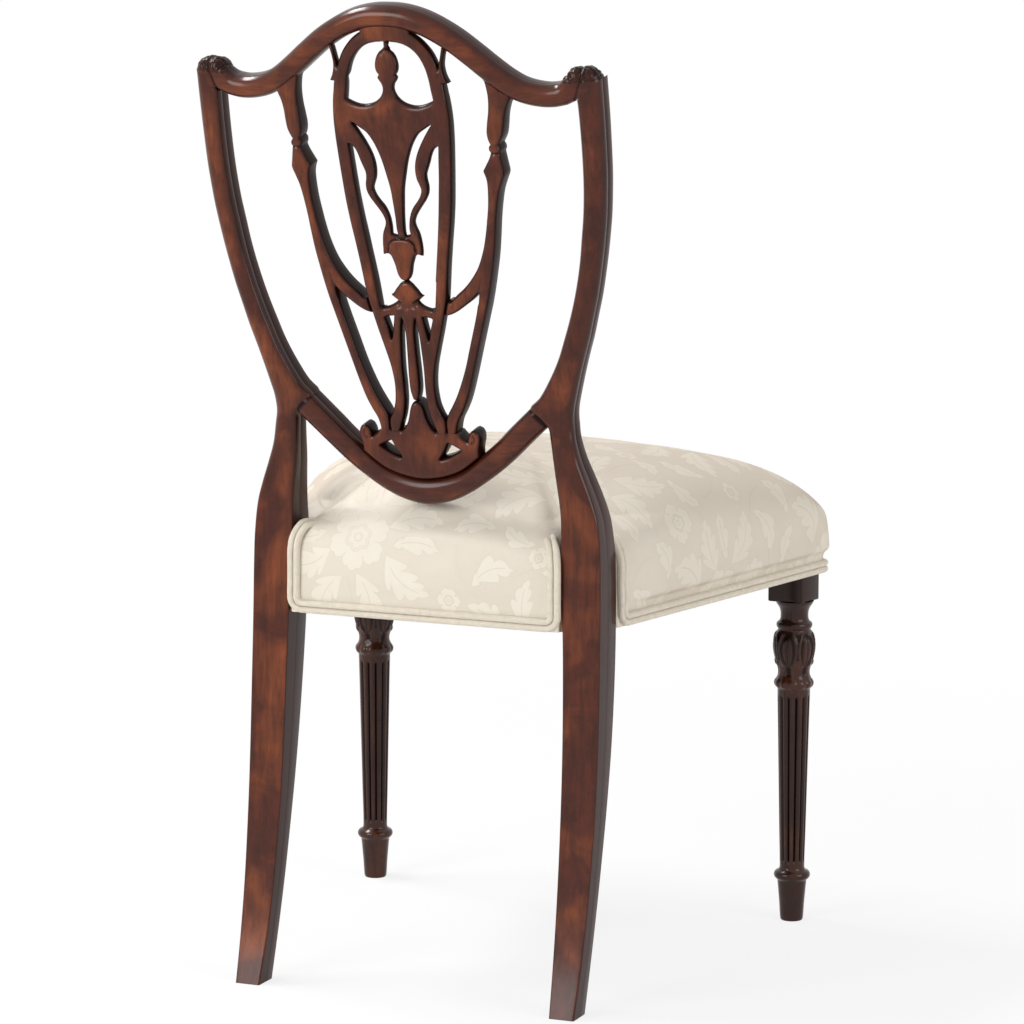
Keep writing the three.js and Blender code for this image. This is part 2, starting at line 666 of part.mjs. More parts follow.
function rearLeg(side) {
  const rings = rearLegShares.map((row) => legRing(row, side));
  const outer = [legCrotchShares[0], ...stileOuterShares].map(flat);
  const inner = [legCrotchShares[1], ...stileInnerShares].map(flat);
  outer.forEach((point, i) => rings.push(mouldedRing(inner[i], point, side)));
  const settle = new THREE.Vector2(0, -jointGap);
  const innerEnd = flat(earInnerCornerShares).add(settle);
  const outerEnd = flat(earOuterCornerShares).add(settle);
  rings.push(mouldedRing(innerEnd, outerEnd, side));
  const cuts = [
    crestPin(side, jointGap),
    lowerPin(side, jointGap),
    sideRailTenon(side, 1, jointGap),
    rearRailTenon(side, jointGap),
  ];
  return shape(loft(rings), [], cuts);
}

// Seat plan: the side runs straight from the rear leg to the front corner
const sideRun = new THREE.Vector2(seatFrontHalfWidth - seatNotchHalfWidth, seatFrontDepth - seatNotchDepth);
const sideAngle = Math.atan2(sideRun.x, -sideRun.y);
const uprightWeltFront = seatNotchDepth - weltWidth - 2 * jointGap;

// Half width of the seat at a depth, moved inward square to its side
function seatSideAt(depth, inset) {
  const share = (seatNotchDepth - depth) / (seatNotchDepth - seatFrontDepth);
  return seatNotchHalfWidth + share * sideRun.x - inset / Math.cos(sideAngle);
}

// Plan of the cover's rear edge, from the middle of the back round the rear leg's notch
function rearPlan() {
  return [
    new THREE.Vector2(0, seatRearDepth),
    new THREE.Vector2(seatRearHalfWidth / 2, seatRearDepth),
    new THREE.Vector2(seatRearHalfWidth, seatRearDepth),
    new THREE.Vector2(seatRearHalfWidth, (seatRearDepth + seatNotchDepth) / 2),
    new THREE.Vector2(seatRearHalfWidth, seatNotchDepth),
    new THREE.Vector2((seatRearHalfWidth + seatNotchHalfWidth) / 2, seatNotchDepth),
    new THREE.Vector2(seatNotchHalfWidth, seatNotchDepth),
  ];
}

// Plan of the side, from behind the upright welt to the front corner
function sidePlan() {
  const depths = sideRunShares.map((share) => THREE.MathUtils.lerp(seatNotchDepth, seatFrontDepth, share));
  return [uprightWeltFront, ...depths].map((depth) => new THREE.Vector2(seatSideAt(depth, 0), depth));
}

// Plan of the rounded front corner and the bowed front, to its middle
function frontPlan() {
  const corner = new THREE.Vector2(seatFrontHalfWidth, seatFrontDepth);
  const start = corner.clone().addScaledVector(sideRun.clone().normalize(), -seatCornerReach);
  const end = corner.clone().add(new THREE.Vector2(-seatCornerReach, 0));
  const turn = new THREE.QuadraticBezierCurve(start, corner, end).getPoints(cornerSteps);
  const front = frontRunShares.map((share) => new THREE.Vector2(
    share * end.x,
    seatFrontDepth - seatFrontBow * (1 - share * share),
  ));
  return [...turn, ...front];
}

// How much of its swell the side has at a depth: none behind the upright welt
function swellAt(depth) {
  return THREE.MathUtils.clamp((uprightWeltFront - depth) / bulgeRun, 0, 1);
}

// Ring of the seat's crown, drawn in by an inset and lowered by it near the top
function crownRing(plan, [heightShare, sideShare, rearShare, squareShare, bulgeShare], inset) {
  const height = railBottomHeight + heightShare * (crownHeight - railBottomHeight);
  return plan.map((point) => {
    const planShare = point.y > seatNotchDepth ? rearShare : sideShare;
    const fullReach = crownMeanReach * (point.length() / crownMeanReach) ** squareShare;
    const swell = sideBulge * bulgeShare * swellAt(point.y);
    const reach = Math.max(planShare * fullReach + swell - inset * Math.SQRT2, coverThickness);
    const place = point.clone().setLength(reach);
    return new THREE.Vector3(place.x, place.y, height - inset * (1 - planShare ** 4));
  });
}

function crownRings(inset, first) {
  const plan = bothHalves([...rearPlan(), ...sidePlan(), ...frontPlan()]);
  return crownShares.slice(first).map((row) => crownRing(plan, row, inset));
}

// Room in the cover for the rails' ends at a rear leg, below the tops of the rails
function railPassage(side) {
  const front = legFrontDepth - 3 * coverThickness;
  const inner = seatRearHalfWidth - 2 * railInset;
  const outer = seatSideAt(front, railInset) + jointGap;
  const rear = rearFaceDepth + jointGap;
  const bottom = railBottomHeight - cutOverrun;
  const top = railTopHeight + jointGap;
  const box = new THREE.BoxGeometry(outer - inner, rear - front, top - bottom);
  box.translate(side * (inner + outer) / 2, (front + rear) / 2, (bottom + top) / 2);
  return box;
}

function seatCover() {
  const outer = crownRings(0, 0);
  const inner = crownRings(coverThickness, 0);
  const body = loft([...inner.reverse(), ...outer]);
  return shape(body, [], [railPassage(1), railPassage(-1)]);
}

function seatFoam() {
  const rings = crownRings(coverThickness + coverLiningGap, foamStart);
  const base = railTopHeight + 2 * webbingThickness + hessianThickness + 4 * jointGap;
  const foot = rings[0].map((point) => new THREE.Vector3(point.x, point.y, base));
  return loft([...rings.reverse(), foot]);
}

// A prism over a plan outline
function prism(plan, bottom, height) {
  const geometry = new THREE.ExtrudeGeometry(new THREE.Shape(plan), { depth: height, bevelEnabled: false });
  geometry.translate(0, 0, bottom);
  return geometry;
}

function mirroredPlan(plan, side) {
  return side > 0 ? plan : mirrored(plan);
}

// Places shared by the rails and the leg blocks
const railInset = coverThickness * Math.SQRT2 + jointGap * 4;
const frontFaceDepth = seatFrontDepth + railInset;
const rearFaceDepth = seatRearDepth - railInset;
const blockRearDepth = frontFaceDepth + blockWidth;
const frontRailRearDepth = frontFaceDepth + railThickness;
const rearRailFrontDepth = rearFaceDepth - railThickness;
const legFrontDepth = seatNotchDepth + jointGap;
const blockInnerInset = railInset + blockWidth;
const frontLegCentre = new THREE.Vector2(
  seatSideAt(frontFaceDepth + blockWidth / 2, railInset + blockWidth / 2),
  frontFaceDepth + blockWidth / 2,
);

// Inner face of the rear leg at a height, straight between the rows of its table
function legInnerAt(height) {
  const rows = rearLegShares.map(([heightShare, , innerShare]) => (
    new THREE.Vector2(heightShare * legCrotchHeight, innerShare * shieldHalfSpan)
  ));
  return heightAt(rows, height);
}

// A rail's tenon: a box turned about the vertical, with its length reaching into the rail too
function railTenon(centre, angle, clearance) {
  const grown = [tenonThickness, tenonLength + tenonThickness, tenonHeight].map((size) => size + 2 * clearance);
  const box = new THREE.BoxGeometry(...grown);
  box.rotateZ(angle);
  box.translate(centre.x, centre.y, centre.z);
  return box;
}

// Tenon of a side rail, at its rear end (1) or its front end (-1)
function sideRailTenon(side, end, clearance) {
  const shoulder = end > 0 ? legFrontDepth : blockRearDepth;
  const depth = shoulder + end * (tenonLength / 2 - tenonThickness / 2);
  const x = seatSideAt(depth, railInset + railThickness / 2);
  const centre = new THREE.Vector3(side * x, depth, railBottomHeight + railHeight / 2);
  return railTenon(centre, side * sideAngle, clearance);
}

function rearRailTenon(side, clearance) {
  const middle = railBottomHeight + railHeight / 2;
  const x = legInnerAt(middle) + tenonLength / 2 - tenonThickness / 2;
  const centre = new THREE.Vector3(side * x, rearFaceDepth - railThickness / 2, middle);
  return railTenon(centre, Math.PI / 2, clearance);
}

function frontRailTenon(side, clearance) {
  const depth = frontFaceDepth + railThickness / 2;
  const x = seatSideAt(depth, blockInnerInset) + tenonLength / 2 - tenonThickness / 2;
  const centre = new THREE.Vector3(side * x, depth, railBottomHeight + railHeight / 2);
  return railTenon(centre, Math.PI / 2, clearance);
}

function sideRail(side) {
  const front = blockRearDepth + jointGap;
  const rear = legFrontDepth - jointGap;
  const plan = [
    new THREE.Vector2(seatSideAt(rear, railInset), rear),
    new THREE.Vector2(seatSideAt(front, railInset), front),
    new THREE.Vector2(seatSideAt(front, railInset + railThickness), front),
    new THREE.Vector2(seatSideAt(rear, railInset + railThickness), rear),
  ];
  const body = prism(mirroredPlan(plan, side), railBottomHeight, railHeight);
  const holes = [screwOf('front', side, 1, jointGap), screwOf('rear', side, 1, jointGap)];
  return shape(body, [sideRailTenon(side, 1, 0), sideRailTenon(side, -1, 0)], holes);
}

function frontRail() {
  const half = [
    new THREE.Vector2(seatSideAt(frontRailRearDepth, blockInnerInset) - jointGap, frontRailRearDepth),
    new THREE.Vector2(seatSideAt(frontFaceDepth, blockInnerInset) - jointGap, frontFaceDepth),
    new THREE.Vector2(0, frontFaceDepth - seatFrontBow),
  ];
  const body = prism([...half, ...mirrored(half).slice(1)], railBottomHeight, railHeight);
  const tenons = [-1, 1].map((side) => frontRailTenon(side, 0));
  const holes = [-1, 1].map((side) => screwOf('front', side, 0, jointGap));
  return shape(body, tenons, holes);
}

function rearRail() {
  const low = legInnerAt(railBottomHeight) - jointGap;
  const high = legInnerAt(railTopHeight) - jointGap;
  const face = new THREE.Shape([
    new THREE.Vector2(-low, railBottomHeight),
    new THREE.Vector2(low, railBottomHeight),
    new THREE.Vector2(Math.min(high, seatRearHalfWidth - railInset), railTopHeight),
    new THREE.Vector2(-Math.min(high, seatRearHalfWidth - railInset), railTopHeight),
  ]);
  const body = new THREE.ExtrudeGeometry(face, { depth: railThickness, bevelEnabled: false });
  body.rotateX(Math.PI / 2);
  body.translate(0, rearFaceDepth, 0);
  const tenons = [-1, 1].map((side) => rearRailTenon(side, 0));
  const holes = [-1, 1].map((side) => screwOf('rear', side, 0, jointGap));
  return shape(body, tenons, holes);
}

// Radius of the turned front leg at each height, from the floor to the block
function turnedProfile() {
  return [
    [0, footRadius], [footHeight, (footRadius + neckRadius) / 2 + ringHalfHeight / 2],
    [lowerRingHeight - ringHalfHeight, lowerRingRadius - ringHalfHeight / 2],
    [lowerRingHeight, lowerRingRadius],
    [lowerRingHeight + ringHalfHeight, lowerRingRadius - ringHalfHeight / 2],
    [shaftBottomHeight, shaftBottomRadius],
    [shaftBottomHeight + 2 * ringHalfHeight, shaftBottomRadius],
    [(shaftBottomHeight + shaftTopHeight) / 2, (shaftBottomRadius + shaftTopRadius) / 2],
    [shaftTopHeight - 2 * ringHalfHeight, shaftTopRadius],
    [shaftTopHeight, shaftTopRadius],
    [collarHeight - ringHalfHeight, collarRadius - ringHalfHeight / 4], [collarHeight, collarRadius],
    [collarHeight + ringHalfHeight, collarRadius - ringHalfHeight / 2],
    [waistHeight, waistRadius],
    [(waistHeight + bulbHeight) / 2, (waistRadius + bulbRadius) / 2 + ringHalfHeight / 4],
    [bulbHeight, bulbRadius], [(bulbHeight + neckRingHeight) / 2, bulbRadius - ringHalfHeight / 4],
    [neckRingHeight - ringHalfHeight, neckRingRadius - ringHalfHeight / 2], [neckRingHeight, neckRingRadius],
    [neckRingHeight + ringHalfHeight, neckRadius + ringHalfHeight / 4],
    [neckHeight, neckRadius], [blockBottomHeight, neckRadius + ringHalfHeight],
    [blockBottomHeight + cutOverrun, neckRadius],
  ];
}

// Ring of the turned leg; between the shaft's ends it carries flutes
function turnedRing(height, radius, centre) {
  const fluted = height > shaftBottomHeight + ringHalfHeight && height < shaftTopHeight - ringHalfHeight;
  const ring = [];
  for (let i = 0; i < legSides; i += 1) {
    const angle = 2 * Math.PI * i / legSides;
    const hollow = fluted ? fluteDepth * Math.sin(fluteCount * angle / 2) ** 2 : 0;
    const reach = radius - hollow;
    const spoke = new THREE.Vector2(reach, 0).rotateAround(new THREE.Vector2(), angle).add(centre);
    ring.push(new THREE.Vector3(spoke.x, spoke.y, height));
  }
  return ring;
}

function frontLeg(side) {
  const centre = new THREE.Vector2(side * frontLegCentre.x, frontLegCentre.y);
  const rings = turnedProfile().map(([height, radius]) => turnedRing(height, radius, centre));
  const front = frontFaceDepth;
  const rear = blockRearDepth;
  const block = prism(mirroredPlan([
    new THREE.Vector2(seatSideAt(rear, railInset), rear),
    new THREE.Vector2(seatSideAt(front + blockCornerEase, railInset), front + blockCornerEase),
    new THREE.Vector2(seatSideAt(front, railInset + blockCornerEase), front),
    new THREE.Vector2(seatSideAt(front, blockInnerInset), front),
    new THREE.Vector2(seatSideAt(rear, blockInnerInset), rear),
  ], side), blockBottomHeight, railTopHeight - blockBottomHeight);
  return shape(loft(rings), [block], [sideRailTenon(side, -1, jointGap), frontRailTenon(side, jointGap)]);
}

// Corner braces: a bar across each inside corner, from the front or rear rail to the side rail
function bracePlan(place) {
  const isFront = place === 'front';
  const railFace = isFront ? frontRailRearDepth + jointGap : rearRailFrontDepth - jointGap;
  const into = isFront ? 1 : -1;
  const shoulder = isFront ? blockRearDepth : legFrontDepth;
  const inset = railInset + railThickness + jointGap;
  const foot = isFront ? frontBraceFoot : rearBraceFoot;
  const reach = isFront ? frontBraceLength : rearBraceLength;
  const near = shoulder + into * (reach - foot);
  const far = shoulder + into * reach;
  const x = seatSideAt(shoulder, inset) - braceSetback;
  return [
    new THREE.Vector2(x, railFace),
    new THREE.Vector2(x + foot, railFace),
    new THREE.Vector2(seatSideAt(near, inset), near),
    new THREE.Vector2(seatSideAt(far, inset), far),
  ];
}

// A screw through a brace: which 0 goes into the front or rear rail, 1 into the side rail
function screwOf(place, side, which, clearance) {
  const plan = bracePlan(place);
  const into = place === 'front' ? -1 : 1;
  const inner = [plan[0], plan[3]];
  const aim = which === 0
    ? new THREE.Vector2(0, into)
    : new THREE.Vector2(Math.cos(sideAngle), Math.sin(sideAngle));
  const start = inner[0].clone().lerp(inner[1], screwShares[which]).addScaledVector(aim, screwSink);
  const head = clearance > 0 ? cutOverrun + screwSink : 0;
  const profile = [
    new THREE.Vector2(0, -head),
    new THREE.Vector2(screwHeadRadius + clearance, -head),
    new THREE.Vector2(screwHeadRadius + clearance, screwHeadHeight + clearance),
    new THREE.Vector2(screwShankRadius + clearance, screwHeadHeight + clearance),
    new THREE.Vector2(screwShankRadius + clearance, screwLength + clearance),
    new THREE.Vector2(0, screwLength + clearance),
  ];
  const geometry = new THREE.LatheGeometry(profile, screwSides);
  const direction = new THREE.Vector3(side * aim.x, aim.y, 0);
  geometry.applyQuaternion(new THREE.Quaternion().setFromUnitVectors(new THREE.Vector3(0, 1, 0), direction));
  geometry.translate(side * start.x, start.y, braceBottomHeight + braceHeight / 2);
  geometry.deleteAttribute('normal');
  geometry.deleteAttribute('uv');
  return outward(mergeVertices(geometry, weldTolerance));
}

function cornerBrace(place, side) {
  const body = prism(mirroredPlan(bracePlan(place), side), braceBottomHeight, braceHeight);
  return shape(body, [], [screwOf(place, side, 0, jointGap), screwOf(place, side, 1, jointGap)]);
}

// Webbing strips lie in two layers on the rails
function webbingAlong(place) {
  const front = frontRailRearDepth - webbingLap;
  const rear = rearRailFrontDepth + webbingLap;
  const strip = new THREE.BoxGeometry(webbingWidth, rear - front, webbingThickness);
  const height = railTopHeight + jointGap + webbingThickness / 2;
  strip.translate(place * webbingPitchAcross, (front + rear) / 2, height);
  return strip;
}

function webbingAcross(place) {
  const centre = (frontRailRearDepth + rearRailFrontDepth) / 2 - place * webbingPitchAlong;
  const bottom = railTopHeight + 2 * jointGap + webbingThickness;
  const half = [centre + webbingWidth / 2, centre - webbingWidth / 2].map((depth) => (
    new THREE.Vector2(seatSideAt(depth, railInset + railThickness - webbingLap), depth)
  ));
  return prism([...half, ...mirrored(half)], bottom, webbingThickness);
}

// Plan of a cloth laid inside the cover, clear of the rear legs
function clothPlan(inset, cornerCut) {
  const rearHalf = seatRearHalfWidth - inset;
  const half = [
    new THREE.Vector2(rearHalf, seatRearDepth - inset),
    new THREE.Vector2(rearHalf, seatNotchDepth - inset),
    new THREE.Vector2(seatSideAt(seatNotchDepth - inset, inset), seatNotchDepth - inset),
  ];
  if (cornerCut > 0) {
    const rear = blockRearDepth + cornerCut;
    half.push(new THREE.Vector2(seatSideAt(rear, inset), rear));
    half.push(new THREE.Vector2(seatSideAt(rear, blockInnerInset + cornerCut), rear));
    half.push(new THREE.Vector2(seatSideAt(rear, blockInnerInset + cornerCut), seatFrontDepth + inset));
  } else {
    const front = seatFrontDepth + inset;
    half.push(new THREE.Vector2(seatSideAt(front + seatCornerReach, inset), front + seatCornerReach));
    half.push(new THREE.Vector2(seatSideAt(front, inset) - seatCornerReach, front));
  }
  return [...half, ...mirrored(half)];
}

function hessianSheet() {
  const bottom = railTopHeight + 3 * jointGap + 2 * webbingThickness;
  return prism(clothPlan(railInset + webbingThickness, 0), bottom, hessianThickness);
}

function underCloth() {
  const bottom = railBottomHeight - jointGap - underClothThickness;
  return prism(clothPlan(underClothInset, jointGap * 4), bottom, underClothThickness);
}

// Double welt: two cords side by side, laid along a path on the cover
function weltRing(point, along, out) {
  const across = new THREE.Vector3().crossVectors(along, out).normalize();
  return weltSectionShares.map(([wideShare, highShare]) => point.clone()
    .addScaledVector(across, wideShare * weltWidth / 2)
    .addScaledVector(out, highShare * weltProud));
}

// Skins a welt along its stations; each is a point and the way out of the cover there
function weltRun(stations) {
  const rings = stations.map(([point, out], i) => {
    const before = stations[Math.max(0, i - 1)][0];
    const after = stations[Math.min(stations.length - 1, i + 1)][0];
    const along = after.clone().sub(before).normalize();
    return weltRing(point, along, out);
  });
  return loft(rings);
}

// Quarter turn from going down to going level, as [distance along the run, height above the run]
function weltTurn() {
  const turn = [];
  for (let step = 0; step <= weltTurnSteps; step += 1) {
    const angle = Math.PI / 2 * step / weltTurnSteps;
    turn.push([weltCornerRadius * (1 - Math.cos(angle)), weltCornerRadius * (1 - Math.sin(angle))]);
  }
  return turn;
}

function weltRear() {
  const out = new THREE.Vector3(0, 1, 0);
  const depth = seatRearDepth + jointGap;
  const edge = seatRearHalfWidth + rearWeltOverhang - weltWidth / 2;
  const low = railBottomHeight + weltWidth / 2;
  const shoulder = rearWeltTopHeight - weltWidth;
  const half = [
    new THREE.Vector3(edge - weltCornerRadius - weltWidth, depth, shoulder + weltWidth / 2),
    new THREE.Vector3(edge - weltCornerRadius, depth, shoulder),
    new THREE.Vector3(edge, depth, shoulder - weltWidth),
    ...weltTurn().map(([along, above]) => new THREE.Vector3(edge - along, depth, low + above)),
  ];
  const other = half.map((point) => new THREE.Vector3(-point.x, point.y, point.z)).reverse();
  return weltRun([...half, ...other].map((point) => [point, out]));
}

// Stations of the upright welt in front of a rear leg, down to its turn along the side
function uprightWelt(low) {
  const out = new THREE.Vector3(Math.cos(sideAngle), Math.sin(sideAngle), 0);
  const start = seatNotchDepth - weltWidth / 2 - jointGap;
  const rows = crownShares.map(([heightShare, sideShare]) => new THREE.Vector2(
    railBottomHeight + heightShare * (crownHeight - railBottomHeight),
    (1 - sideShare) * crownMeanReach - jointGap,
  ));
  const onSide = (depth, height) => [new THREE.Vector3(
    seatSideAt(depth, heightAt(rows, height)),
    depth,
    height,
  ), out];
  const straight = [onSide(start, sideWeltTopHeight), onSide(start, railTopHeight)];
  return [...straight, ...weltTurn().map(([along, above]) => onSide(start - along, low + above))];
}

// Outline of the welt round the seat, with the way out at each point
function weltRound() {
  const low = railBottomHeight + weltWidth / 2;
  const half = uprightWelt(low);
  const plan = [...sidePlan(), ...frontPlan()];
  for (let i = 1; i < plan.length; i += 1) {
    const isMiddle = i === plan.length - 1;
    const after = isMiddle ? plan[i] : plan[i + 1];
    const run = after.clone().sub(plan[i - 1]).normalize();
    const away = isMiddle ? new THREE.Vector3(0, -1, 0) : new THREE.Vector3(-run.y, run.x, 0);
    half.push([new THREE.Vector3(plan[i].x, plan[i].y, low).addScaledVector(away, jointGap), away]);
  }
  const other = half.slice(0, -1).map(([point, away]) => [
    new THREE.Vector3(-point.x, point.y, point.z),
    new THREE.Vector3(-away.x, away.y, away.z),
  ]).reverse();
  return weltRun([...half, ...other]);
}

const sides = [['left', 1], ['right', -1]];
const chair = new THREE.Group();

const back = new THREE.Group();
back.add(piece('crest_rail', crestRail(), mahogany));
back.add(piece('shield_lower_rail', lowerRail(), mahogany));
back.add(piece('centre_splat', centreSplat(), mahogany));
back.add(piece('splat_shoe', splatShoe(), mahogany));
for (const [name, side] of sides) {
  back.add(piece(`rear_leg_${name}`, rearLeg(side), mahogany));
  back.add(piece(`side_bar_${name}`, sideBar(side), mahogany));
  back.add(piece(`crest_pin_${name}`, crestPin(side, 0), beech));
  back.add(piece(`lower_rail_pin_${name}`, lowerPin(side, 0), beech));
}
chair.add(back);

const seatFrame = new THREE.Group();
seatFrame.add(piece('seat_rail_front', frontRail(), beech));
seatFrame.add(piece('seat_rail_rear', rearRail(), beech));
for (const [name, side] of sides) {
  seatFrame.add(piece(`front_leg_${name}`, frontLeg(side), mahogany));
  seatFrame.add(piece(`seat_rail_${name}`, sideRail(side), beech));
  for (const place of ['front', 'rear']) {
    seatFrame.add(piece(`corner_brace_${place}_${name}`, cornerBrace(place, side), beech));
    for (const which of [0, 1]) {
      const screwName = `brace_screw_${place}_${name}_${which + 1}`;
      seatFrame.add(piece(screwName, screwOf(place, side, which, 0), steel));
    }
  }
}
chair.add(seatFrame);

const upholstery = new THREE.Group();
for (const place of [-1, 0, 1]) {
  upholstery.add(piece(`webbing_along_${place + 2}`, webbingAlong(place), hessian));
  upholstery.add(piece(`webbing_across_${place + 2}`, webbingAcross(place), hessian));
}
upholstery.add(piece('hessian_sheet', hessianSheet(), hessian));
upholstery.add(piece('seat_foam', seatFoam(), foamStuffing));
upholstery.add(piece('seat_cover', seatCover(), damask));
upholstery.add(piece('welt_round_seat', weltRound(), weltCord));
upholstery.add(piece('welt_rear', weltRear(), weltCord));
upholstery.add(piece('under_cloth', underCloth(), blackCloth));
chair.add(upholstery);

// The origin is the middle of the chair's footprint, on the floor
const extent = new THREE.Box3().setFromObject(chair);
const middle = extent.getCenter(new THREE.Vector3());
chair.position.set(-middle.x, -middle.y, -extent.min.z);

const shieldBackChair = new THREE.Group();
shieldBackChair.add(chair);

export default shieldBackChair;
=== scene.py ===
"""Looks of a shield back side chair: carved mahogany round a crowned, damask covered seat.

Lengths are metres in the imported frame: +X is the sitter's left, -Y the front, +Z up.
"""

import logging
import math
from dataclasses import dataclass, field
from enum import Enum

import bpy
import numpy as np
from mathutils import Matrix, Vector
from mathutils.geometry import delaunay_2d_cdt


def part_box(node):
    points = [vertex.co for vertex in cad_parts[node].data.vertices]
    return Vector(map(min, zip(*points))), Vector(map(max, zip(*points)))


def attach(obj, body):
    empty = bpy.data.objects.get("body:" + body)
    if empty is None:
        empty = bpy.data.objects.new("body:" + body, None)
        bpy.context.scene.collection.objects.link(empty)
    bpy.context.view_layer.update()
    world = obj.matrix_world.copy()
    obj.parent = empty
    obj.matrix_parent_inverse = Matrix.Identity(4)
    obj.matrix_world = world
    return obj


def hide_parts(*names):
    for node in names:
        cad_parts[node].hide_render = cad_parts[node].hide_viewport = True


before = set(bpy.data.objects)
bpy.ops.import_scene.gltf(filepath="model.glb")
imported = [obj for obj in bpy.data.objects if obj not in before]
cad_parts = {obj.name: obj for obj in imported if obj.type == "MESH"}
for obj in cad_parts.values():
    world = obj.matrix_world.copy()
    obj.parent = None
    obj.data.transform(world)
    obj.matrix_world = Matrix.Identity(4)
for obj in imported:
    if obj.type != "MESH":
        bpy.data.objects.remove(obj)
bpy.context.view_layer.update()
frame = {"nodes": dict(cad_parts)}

LOG = logging.getLogger("shield_back_chair")
MM = 0.001
ORIGIN_SHIFT = -11.352 * MM
Array = np.ndarray


# ---- numbers ----


def smoothstep(value: Array, low: float, high: float) -> Array:
    """Rises from 0 at low to 1 at high along a cubic with level ends.

    Args:
        value: numbers to map.
        low: where the rise starts.
        high: where the rise ends.

    Returns:
        An array of shares from 0 to 1.
    """
    share = np.clip((value - low) / (high - low), 0.0, 1.0)
    return share * share * (3.0 - 2.0 * share)


def half_round(place: Array) -> Array:
    """Height of a half circle of radius 1 at a place from its middle, 0 beyond it."""
    return np.sqrt(np.clip(1 - place**2, 0.0, 1.0))


def unit(vectors: Array) -> Array:
    """The vectors along the last axis, drawn out to length 1."""
    return vectors / np.maximum(np.linalg.norm(vectors, axis=-1, keepdims=True), 1e-12)


def flipped(points: Array) -> Array:
    """The points or directions of the last axis, mirrored in X."""
    return points * np.array([-1.0, *[1.0] * (points.shape[-1] - 1)])


def both_halves(rows: Array) -> Array:
    """Rows from the middle to one end, as rows from end to end."""
    return np.concatenate([flipped(rows[1:][::-1]), rows])


def there_and_back(rows: Array) -> Array:
    """Rows from one end to the middle, as rows from end to end."""
    return np.concatenate([rows, flipped(rows[:-1][::-1])])


def softened(rings: Array, reach: int, axis: int) -> Array:
    """Closed rings with each point averaged with its neighbours, by a bell of a reach in points."""
    bell = np.hanning(2 * reach + 3)[1:-1]
    return sum(np.roll(rings, turn - reach, axis) * part for turn, part in enumerate(bell / bell.sum()))


def run_along(path: Array) -> Array:
    """Length of a path up to each of its points."""
    return np.append(0.0, np.cumsum(np.linalg.norm(np.diff(path, axis=0), axis=1)))


def at_lengths(path: Array, lengths: Array) -> Array:
    """Points of a path at lengths from its start."""
    run = run_along(path)
    return np.stack([np.interp(lengths, run, axis) for axis in path.T], 1)


def smooth_run(points: Array, step: float) -> Array:
    """A smooth curve through the points, as cubic spans with parabolic end slopes.

    Each span runs over the root of its chord, and its slope at a point is the mean of the
    slopes on both sides, weighted by the other side's length.

    Args:
        points: n rows of any shape; the first axis runs along the curve.
        step: wanted distance between the samples.

    Returns:
        The samples, first and last point included.
    """
    flat = points.reshape(len(points), -1)
    chord = np.linalg.norm(np.diff(flat, axis=0), axis=1)
    return smooth_rows(points, np.maximum(1, np.ceil(chord / step)).astype(int))


def smooth_rows(points: Array, counts: Array) -> Array:
    """The same curve as smooth_run with a given number of samples in each span.

    Args:
        points: n rows of any shape.
        counts: n - 1 whole numbers.

    Returns:
        The samples, first and last point included.
    """
    shape = points.shape[1:]
    flat = points.reshape(len(points), -1)
    if len(flat) < 3:
        share = np.linspace(0.0, 1.0, int(counts[0]) + 1)[:, None]
        return (flat[0] + (flat[1] - flat[0]) * share).reshape(-1, *shape)
    run = np.sqrt(np.maximum(np.linalg.norm(np.diff(flat, axis=0), axis=1), 1e-12))[:, None]
    slope = np.diff(flat, axis=0) / run
    tangent = np.empty_like(flat)
    tangent[1:-1] = (run[1:] * slope[:-1] + run[:-1] * slope[1:]) / (run[1:] + run[:-1])
    tangent[0] = (3.0 * slope[0] - tangent[1]) / 2.0
    tangent[-1] = (3.0 * slope[-1] - tangent[-2]) / 2.0
    span = np.repeat(np.arange(len(counts)), counts)
    first = np.repeat(np.cumsum(counts) - counts, counts)
    t = ((np.arange(int(counts.sum())) - first) / np.repeat(counts, counts))[:, None]
    h = run[span]
    made = (
        (2 * t**3 - 3 * t**2 + 1) * flat[span]
        + (t**3 - 2 * t**2 + t) * h * tangent[span]
        + (3 * t**2 - 2 * t**3) * flat[span + 1]
        + (t**3 - t**2) * h * tangent[span + 1]
    )
    return np.vstack([made, flat[-1:]]).reshape(-1, *shape)


def smooth_loop(points: Array, step: float, corner: float = 48.0) -> Array:
    """A closed outline through the points, smooth but for the corners.

    Args:
        points: n by 2 outline points.
        step: wanted distance between the samples.
        corner: a turn in degrees from which a point stays a corner.

    Returns:
        The samples, without a repeat of the first.
    """
    arrive = points - np.roll(points, 1, axis=0)
    leave = np.roll(points, -1, axis=0) - points
    turn = np.arctan2(
        arrive[:, 0] * leave[:, 1] - arrive[:, 1] * leave[:, 0], (arrive * leave).sum(1)
    )
    corners = np.flatnonzero(np.abs(turn) > math.radians(corner))
    if len(corners) == 0:
        wrapped = np.vstack([points[-3:], points, points[:3]])
        chord = np.linalg.norm(np.diff(wrapped, axis=0), axis=1)
        counts = np.maximum(1, np.ceil(chord / step)).astype(int)
        made = smooth_rows(wrapped, counts)
        return made[counts[:3].sum() : counts[: 3 + len(points)].sum()]
    turned = np.roll(points, -corners[0], axis=0)
    marks = np.append(corners - corners[0], len(points))
    turned = np.vstack([turned, turned[:1]])
    runs = [smooth_run(turned[a : b + 1], step)[:-1] for a, b in zip(marks[:-1], marks[1:])]
    return np.vstack(runs)


